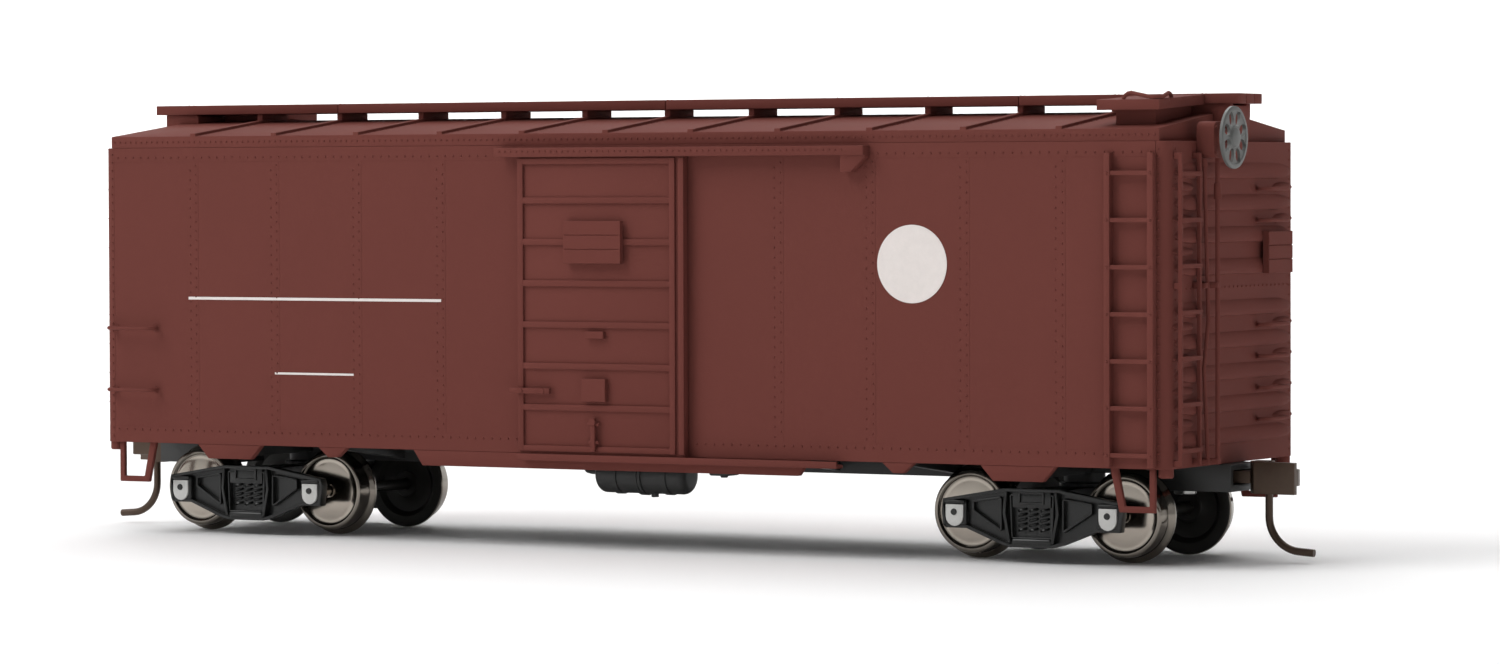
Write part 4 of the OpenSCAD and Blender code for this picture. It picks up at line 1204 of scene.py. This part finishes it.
def side_frame():
    """One cast side frame on the near side: a closed web with raised rims round the outlines of its openings,
    raised flanges and journal boxes
    """
    inner, outer = -12.6, -14.0
    web_in, web_out = -12.75, -13.05
    window = [(-2.5, AXLE_Z - 2.6), (2.5, AXLE_Z - 2.6), (2.7, AXLE_Z + 2.3), (-2.7, AXLE_Z + 2.3)]
    web = plate(frame_points(web_in), (0, web_out - web_in, 0))
    openings = [window]
    for s in (-1, 1):
        side = [(3.9, 1.95), (WHEEL_X - 2.2, 1.45), (WHEEL_X - 2.2, 0.45), (3.9, -1.8)]
        openings.append([(s * x, AXLE_Z + z) for x, z in side])
    flanges = [ribbon(frame_points(inner - 0.1), (0, -1.2, 0), 0.34, closed=True)]
    for opening in openings:
        rim = [(TRUCK_X + x, inner - 0.2, z) for x, z in opening]
        flanges.append(ribbon(rim, (0, -0.9, 0), 0.24, closed=True))
    for s in (-1, 1):
        column = [(s * 3.15, 2.7), (s * 3.35, 0.2), (s * 2.7, -3.1)]
        line = [(TRUCK_X + x, inner - 0.2, AXLE_Z + z) for x, z in column]
        flanges.append(ribbon(line, (0, -1.2, 0), 0.36))
    parts = [web] + [round_off(f, 0.08, 2, 25) for f in flanges]
    seat = box((TRUCK_X - 2.6, outer + 0.1, AXLE_Z - 3.55), (TRUCK_X + 2.6, inner, AXLE_Z - 2.55))
    parts.append(round_off(seat, 0.35, 3))
    for s in (-1, 1):
        x = TRUCK_X + s * WHEEL_X
        journal = box((x - 1.4, outer + 0.15, AXLE_Z - 1.5), (x + 1.4, inner, AXLE_Z + 1.6))
        parts.append(round_off(journal, 0.3, 3))
        hood = box((x - 1.25, outer - 0.05, AXLE_Z + 1.15), (x + 1.25, outer + 0.4, AXLE_Z + 1.55))
        parts.append(round_off(hood, 0.15, 2))
        parts.append(stub((x - 0.05, outer, AXLE_Z + 0.2), "-Y", 0.42, 0.22, tip=0.34, sides=16))
    return join(parts)


def journal_lids():
    """The silver lids of one side frame's two journal boxes: square above and round below"""
    outer, r = -14.0, 1.12
    lids = []
    for s in (-1, 1):
        x = TRUCK_X + s * WHEEL_X
        arc = [(x + r * math.cos(a), outer + 0.2, AXLE_Z - 0.3 + r * math.sin(a))
               for a in (math.radians(180 + 22.5 * i) for i in range(9))]
        outline = arc + [(x + r, outer + 0.2, AXLE_Z + 1.05), (x - r, outer + 0.2, AXLE_Z + 1.05)]
        lids.append(round_off(plate(outline, (0, -0.28, 0)), 0.08, 2))
    return join(lids)


def coil(x, y, low_z, high_z):
    """One coil spring"""
    turns, sides = bpy.context.scene.boxcar_sizes.spring_turns, 12
    outer, radius = 0.6, 0.15
    count = turns * sides
    path = []
    for i in range(count + 1):
        a = 2 * math.pi * i / sides
        rise = low_z + radius + (high_z - low_z - 2 * radius) * i / count
        path.append((x + (outer - radius) * math.cos(a), y + (outer - radius) * math.sin(a), rise))
    return wire(path, radius, roundness=1)


class BOXCAR_OT_trucks(bpy.types.Operator):
    """Truck side frames, springs and bolsters"""

    bl_idname = "boxcar.trucks"
    bl_label = "Trucks"

    def execute(self, context):
        centre = (TRUCK_X, 0, 0)
        near = side_frame()
        frames = join([near, half_turn(near, centre)])
        lids = journal_lids()
        lids = join([lids, half_turn(lids, centre)])
        low, high = corners("truck_springs_b")
        first = coil(TRUCK_X - 1.4, low.y + 0.62, low.z, high.z)
        coils = join([first, duplicate(first, (1.4, 0, 0)), duplicate(first, (2.8, 0, 0))])
        springs = join([coils, half_turn(coils, centre)])
        low, high = corners("truck_bolster_b")
        end_z, end_y = (low.z + high.z) / 2, low.y + 0.05
        steps = ((-1.5, -0.6), (1.5, -0.6), (1.5, 0.6), (-1.5, 0.6))
        ring = [(TRUCK_X + dx, end_y, end_z + dz) for dx, dz in steps]
        pads = round_off(ribbon(ring, (0, -0.25, 0), 0.25, closed=True), 0.06)
        bolster = join([soft_copy("truck_bolster_b", 0.14, 2), pads, half_turn(pads, centre)])
        for piece, name, node, material in (
            (frames, "cast_frames", "side_frames", satin_acetal()),
            (springs, "coil_springs", "truck_springs", satin_acetal()),
            (bolster, "bolster", "truck_bolster", satin_acetal()),
            (lids, "journal_lids", None, silver_print()),
        ):
            twins(piece, name, node, "truck", material, ("_b", "_a"))
        return {"FINISHED"}


def wheel_pair(x):
    """Two wheels on one axle: flange, tapered tread, rim and a slightly domed face"""
    profile = [
        (0.8, 0.1), (1.55, 0.1), (1.7, 0.35), (2.6, 0.62), (3.5, 0.6), (3.85, 0.25), (4.1, 0.05), (5.15, 0),
        (5.33, 0.06), (5.43, 0.22), (5.42, 0.42), (5.25, 0.62), (4.95, 0.78), (4.83, 0.92), (4.8, 1.05),
        (4.72, 2.55), (4.66, 2.7), (4.5, 2.8), (4.25, 2.8), (4.12, 2.7), (4.02, 2.5), (3.9, 2.46),
        (3.4, 2.52), (2.8, 2.57), (2.2, 2.6), (1.6, 2.62), (1.3, 2.63), (0.8, 2.63),
    ]
    back = 7.2
    wheels = [lathe(profile, (x, s * back, AXLE_Z), way, 64, True) for s, way in ((-1, "-Y"), (1, "+Y"))]
    return join(wheels)


def axle_bar(x):
    """A turned axle with shoulders and needle points"""
    tip = 13.55
    half = [(0.12, tip - 0.04), (0.5, tip - 0.7), (0.5, 10.05), (0.8, 10.0)]
    half += [(0.8, 7.4), (0.72, 6.6), (0.65, 0)]
    profile = [(0, tip)] + half + [(r, -d) for r, d in reversed(half[:-1])] + [(0, -tip)]
    return lathe(profile, (x, 0, AXLE_Z), "+Y", 32)


class BOXCAR_OT_wheelsets(bpy.types.Operator):
    """Turned wheels and axles"""

    bl_idname = "boxcar.wheelsets"
    bl_label = "Wheelsets"

    def execute(self, context):
        pair, bar = wheel_pair(0), axle_bar(0)
        for end, s in (("b", 1), ("a", -1)):
            for place, t in (("outer", 1), ("inner", -1)):
                x = s * (TRUCK_X + t * WHEEL_X)
                name = f"{end}_{place}"
                metal = turned_metal("nickel_silver_turned_" + name, (x, 0, AXLE_Z))
                wheels = duplicate(pair, (x, 0, 0))
                axle = duplicate(bar, (x, 0, 0))
                body = "wheelset_" + name
                finish(wheels, "turned_wheels_" + name, body, metal, ["wheels_" + name])
                finish(axle, "turned_axle_" + name, body, metal, ["axle_" + name])
        for used in (pair, bar):
            bpy.data.objects.remove(used)
        return {"FINISHED"}


class BOXCAR_OT_markings(bpy.types.Operator):
    """Printed lines and a blank disc on both sides"""

    bl_idname = "boxcar.markings"
    bl_label = "Markings"

    def execute(self, context):
        face, film, sunk = -HALF_W, 0.05, 0.1
        line = box((-59.8, face - film, 28.98), (-22.9, face + sunk, 29.32))
        short = box((-47, face - film, 19.97), (-35.5, face + sunk, 20.23))
        disc = stub((40.6, face + sunk, 33.84), "-Y", 4.45, sunk + film, sides=96)
        near = join([line, short, disc])
        far = half_turn(near)
        finish(near, "printed_marks_near", "car_body", white_print())
        finish(far, "printed_marks_far", "car_body", white_print())
        return {"FINISHED"}


# Studio -------------------------------------------------------------------


FLOOR_R = 2000
RIM_R = 800  # radius of the floor's upturned rim
TARGET = (10.1, -0.75, 25.35)  # the point that the camera looks at
FOCAL = 125.0
SENSOR_W = 36.0


def white_sweep():
    """Off-white card, matt and even"""
    material, shader = new_material("card_matt_white")
    if shader:
        fill(material, shader, {"Base Color": colour("card"), "Roughness": 0.9})
    return material


def area_light(name, place, target, width, watts):
    """A soft light at a place in metres, aimed at a target"""
    data = bpy.data.lights.new(name, "AREA")
    data.shape = "RECTANGLE"
    data.size, data.size_y = width
    data.energy = watts
    light = bpy.data.objects.new(name, data)
    bpy.context.collection.objects.link(light)
    light.location = place
    light.rotation_euler = (Vector(target) - Vector(place)).to_track_quat("-Z", "Y").to_euler()
    return light


class BOXCAR_OT_stage(bpy.types.Operator):
    """Pale floor with a curved rim, soft lights and the camera"""

    bl_idname = "boxcar.stage"
    bl_label = "Studio"

    def execute(self, context):
        settings = context.scene.boxcar_stage
        angles = [math.radians(9 * i) for i in range(11)]
        rim = [(FLOOR_R + RIM_R * math.sin(a), RIM_R - RIM_R * math.cos(a)) for a in angles]
        floor = lathe([(0, 0), (400, 0)] + rim, (0, 0, 0), "+Z", 96)
        floor.name = "studio_floor"
        edit(floor, everything=True)
        bpy.ops.mesh.normals_make_consistent(inside=True)
        leave()
        bpy.ops.object.shade_smooth()
        floor.data.materials.append(white_sweep())

        target = Vector(TARGET) * MM
        a, e = settings.azimuth, settings.elevation
        back = Vector((math.sin(a) * math.cos(e), -math.cos(a) * math.cos(e), math.sin(e)))
        data = bpy.data.cameras.new("camera")
        data.lens, data.sensor_width = FOCAL, SENSOR_W
        data.clip_start, data.clip_end = 0.01, 50
        camera = bpy.data.objects.new("camera", data)
        context.scene.collection.objects.link(camera)
        camera.location = target + back * settings.distance
        camera.rotation_euler = (-back).to_track_quat("-Z", "Y").to_euler()
        camera.rotation_euler.rotate_axis("Z", settings.roll)
        context.scene.camera = camera

        area_light("overhead", (-0.5, 0.5, 2.0), (-0.5, 0.5, 0), (3, 3), settings.overhead_power)
        area_light("backdrop", (-1.3, 2.2, 1.6), (-1.2, 2.3, 0), (3, 1.6), settings.backdrop_power)
        area_light("key", (-1.1, -1.3, 1.6), (0, 0, 0.02), (1.3, 1.3), settings.key_power)
        world = bpy.data.worlds.new("studio")
        context.scene.world = world
        world.use_nodes = True
        sky = world.node_tree.nodes["Background"]
        sky.inputs["Color"].default_value = (1, 1, 1, 1)
        sky.inputs["Strength"].default_value = 0.06
        context.scene.view_settings.view_transform = "Standard"
        return {"FINISHED"}


OPERATORS = (
    BOXCAR_OT_side_walls,
    BOXCAR_OT_end_walls,
    BOXCAR_OT_roof,
    BOXCAR_OT_roof_walks,
    BOXCAR_OT_doors,
    BOXCAR_OT_ladders,
    BOXCAR_OT_grab_irons,
    BOXCAR_OT_brake_gear,
    BOXCAR_OT_air_brake,
    BOXCAR_OT_underframe,
    BOXCAR_OT_screws,
    BOXCAR_OT_couplers,
    BOXCAR_OT_trucks,
    BOXCAR_OT_wheelsets,
    BOXCAR_OT_markings,
    BOXCAR_OT_stage,
)


class BOXCAR_PT_panel(bpy.types.Panel):
    """Lists the steps that build the boxcar"""

    bl_idname = "BOXCAR_PT_panel"
    bl_label = "Boxcar"
    bl_space_type = "VIEW_3D"
    bl_region_type = "UI"
    bl_category = "Boxcar"

    def draw(self, context):
        for group in ("boxcar_sizes", "boxcar_colours", "boxcar_stage"):
            settings = getattr(context.scene, group)
            for name in settings.__annotations__:
                self.layout.prop(settings, name)
        for operator in OPERATORS:
            self.layout.operator(operator.bl_idname)


CLASSES = (BoxcarSizes, BoxcarColours, BoxcarStage) + OPERATORS + (BOXCAR_PT_panel,)


def register():
    for cls in CLASSES:
        bpy.utils.register_class(cls)
    bpy.types.Scene.boxcar_sizes = PointerProperty(type=BoxcarSizes)
    bpy.types.Scene.boxcar_colours = PointerProperty(type=BoxcarColours)
    bpy.types.Scene.boxcar_stage = PointerProperty(type=BoxcarStage)


def unregister():
    del bpy.types.Scene.boxcar_stage
    del bpy.types.Scene.boxcar_colours
    del bpy.types.Scene.boxcar_sizes
    for cls in reversed(CLASSES):
        bpy.utils.unregister_class(cls)


def main():
    register()
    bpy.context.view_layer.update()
    for operator in OPERATORS:
        group, name = operator.bl_idname.split(".")
        getattr(getattr(bpy.ops, group), name)()


if __name__ == "__main__":
    main()
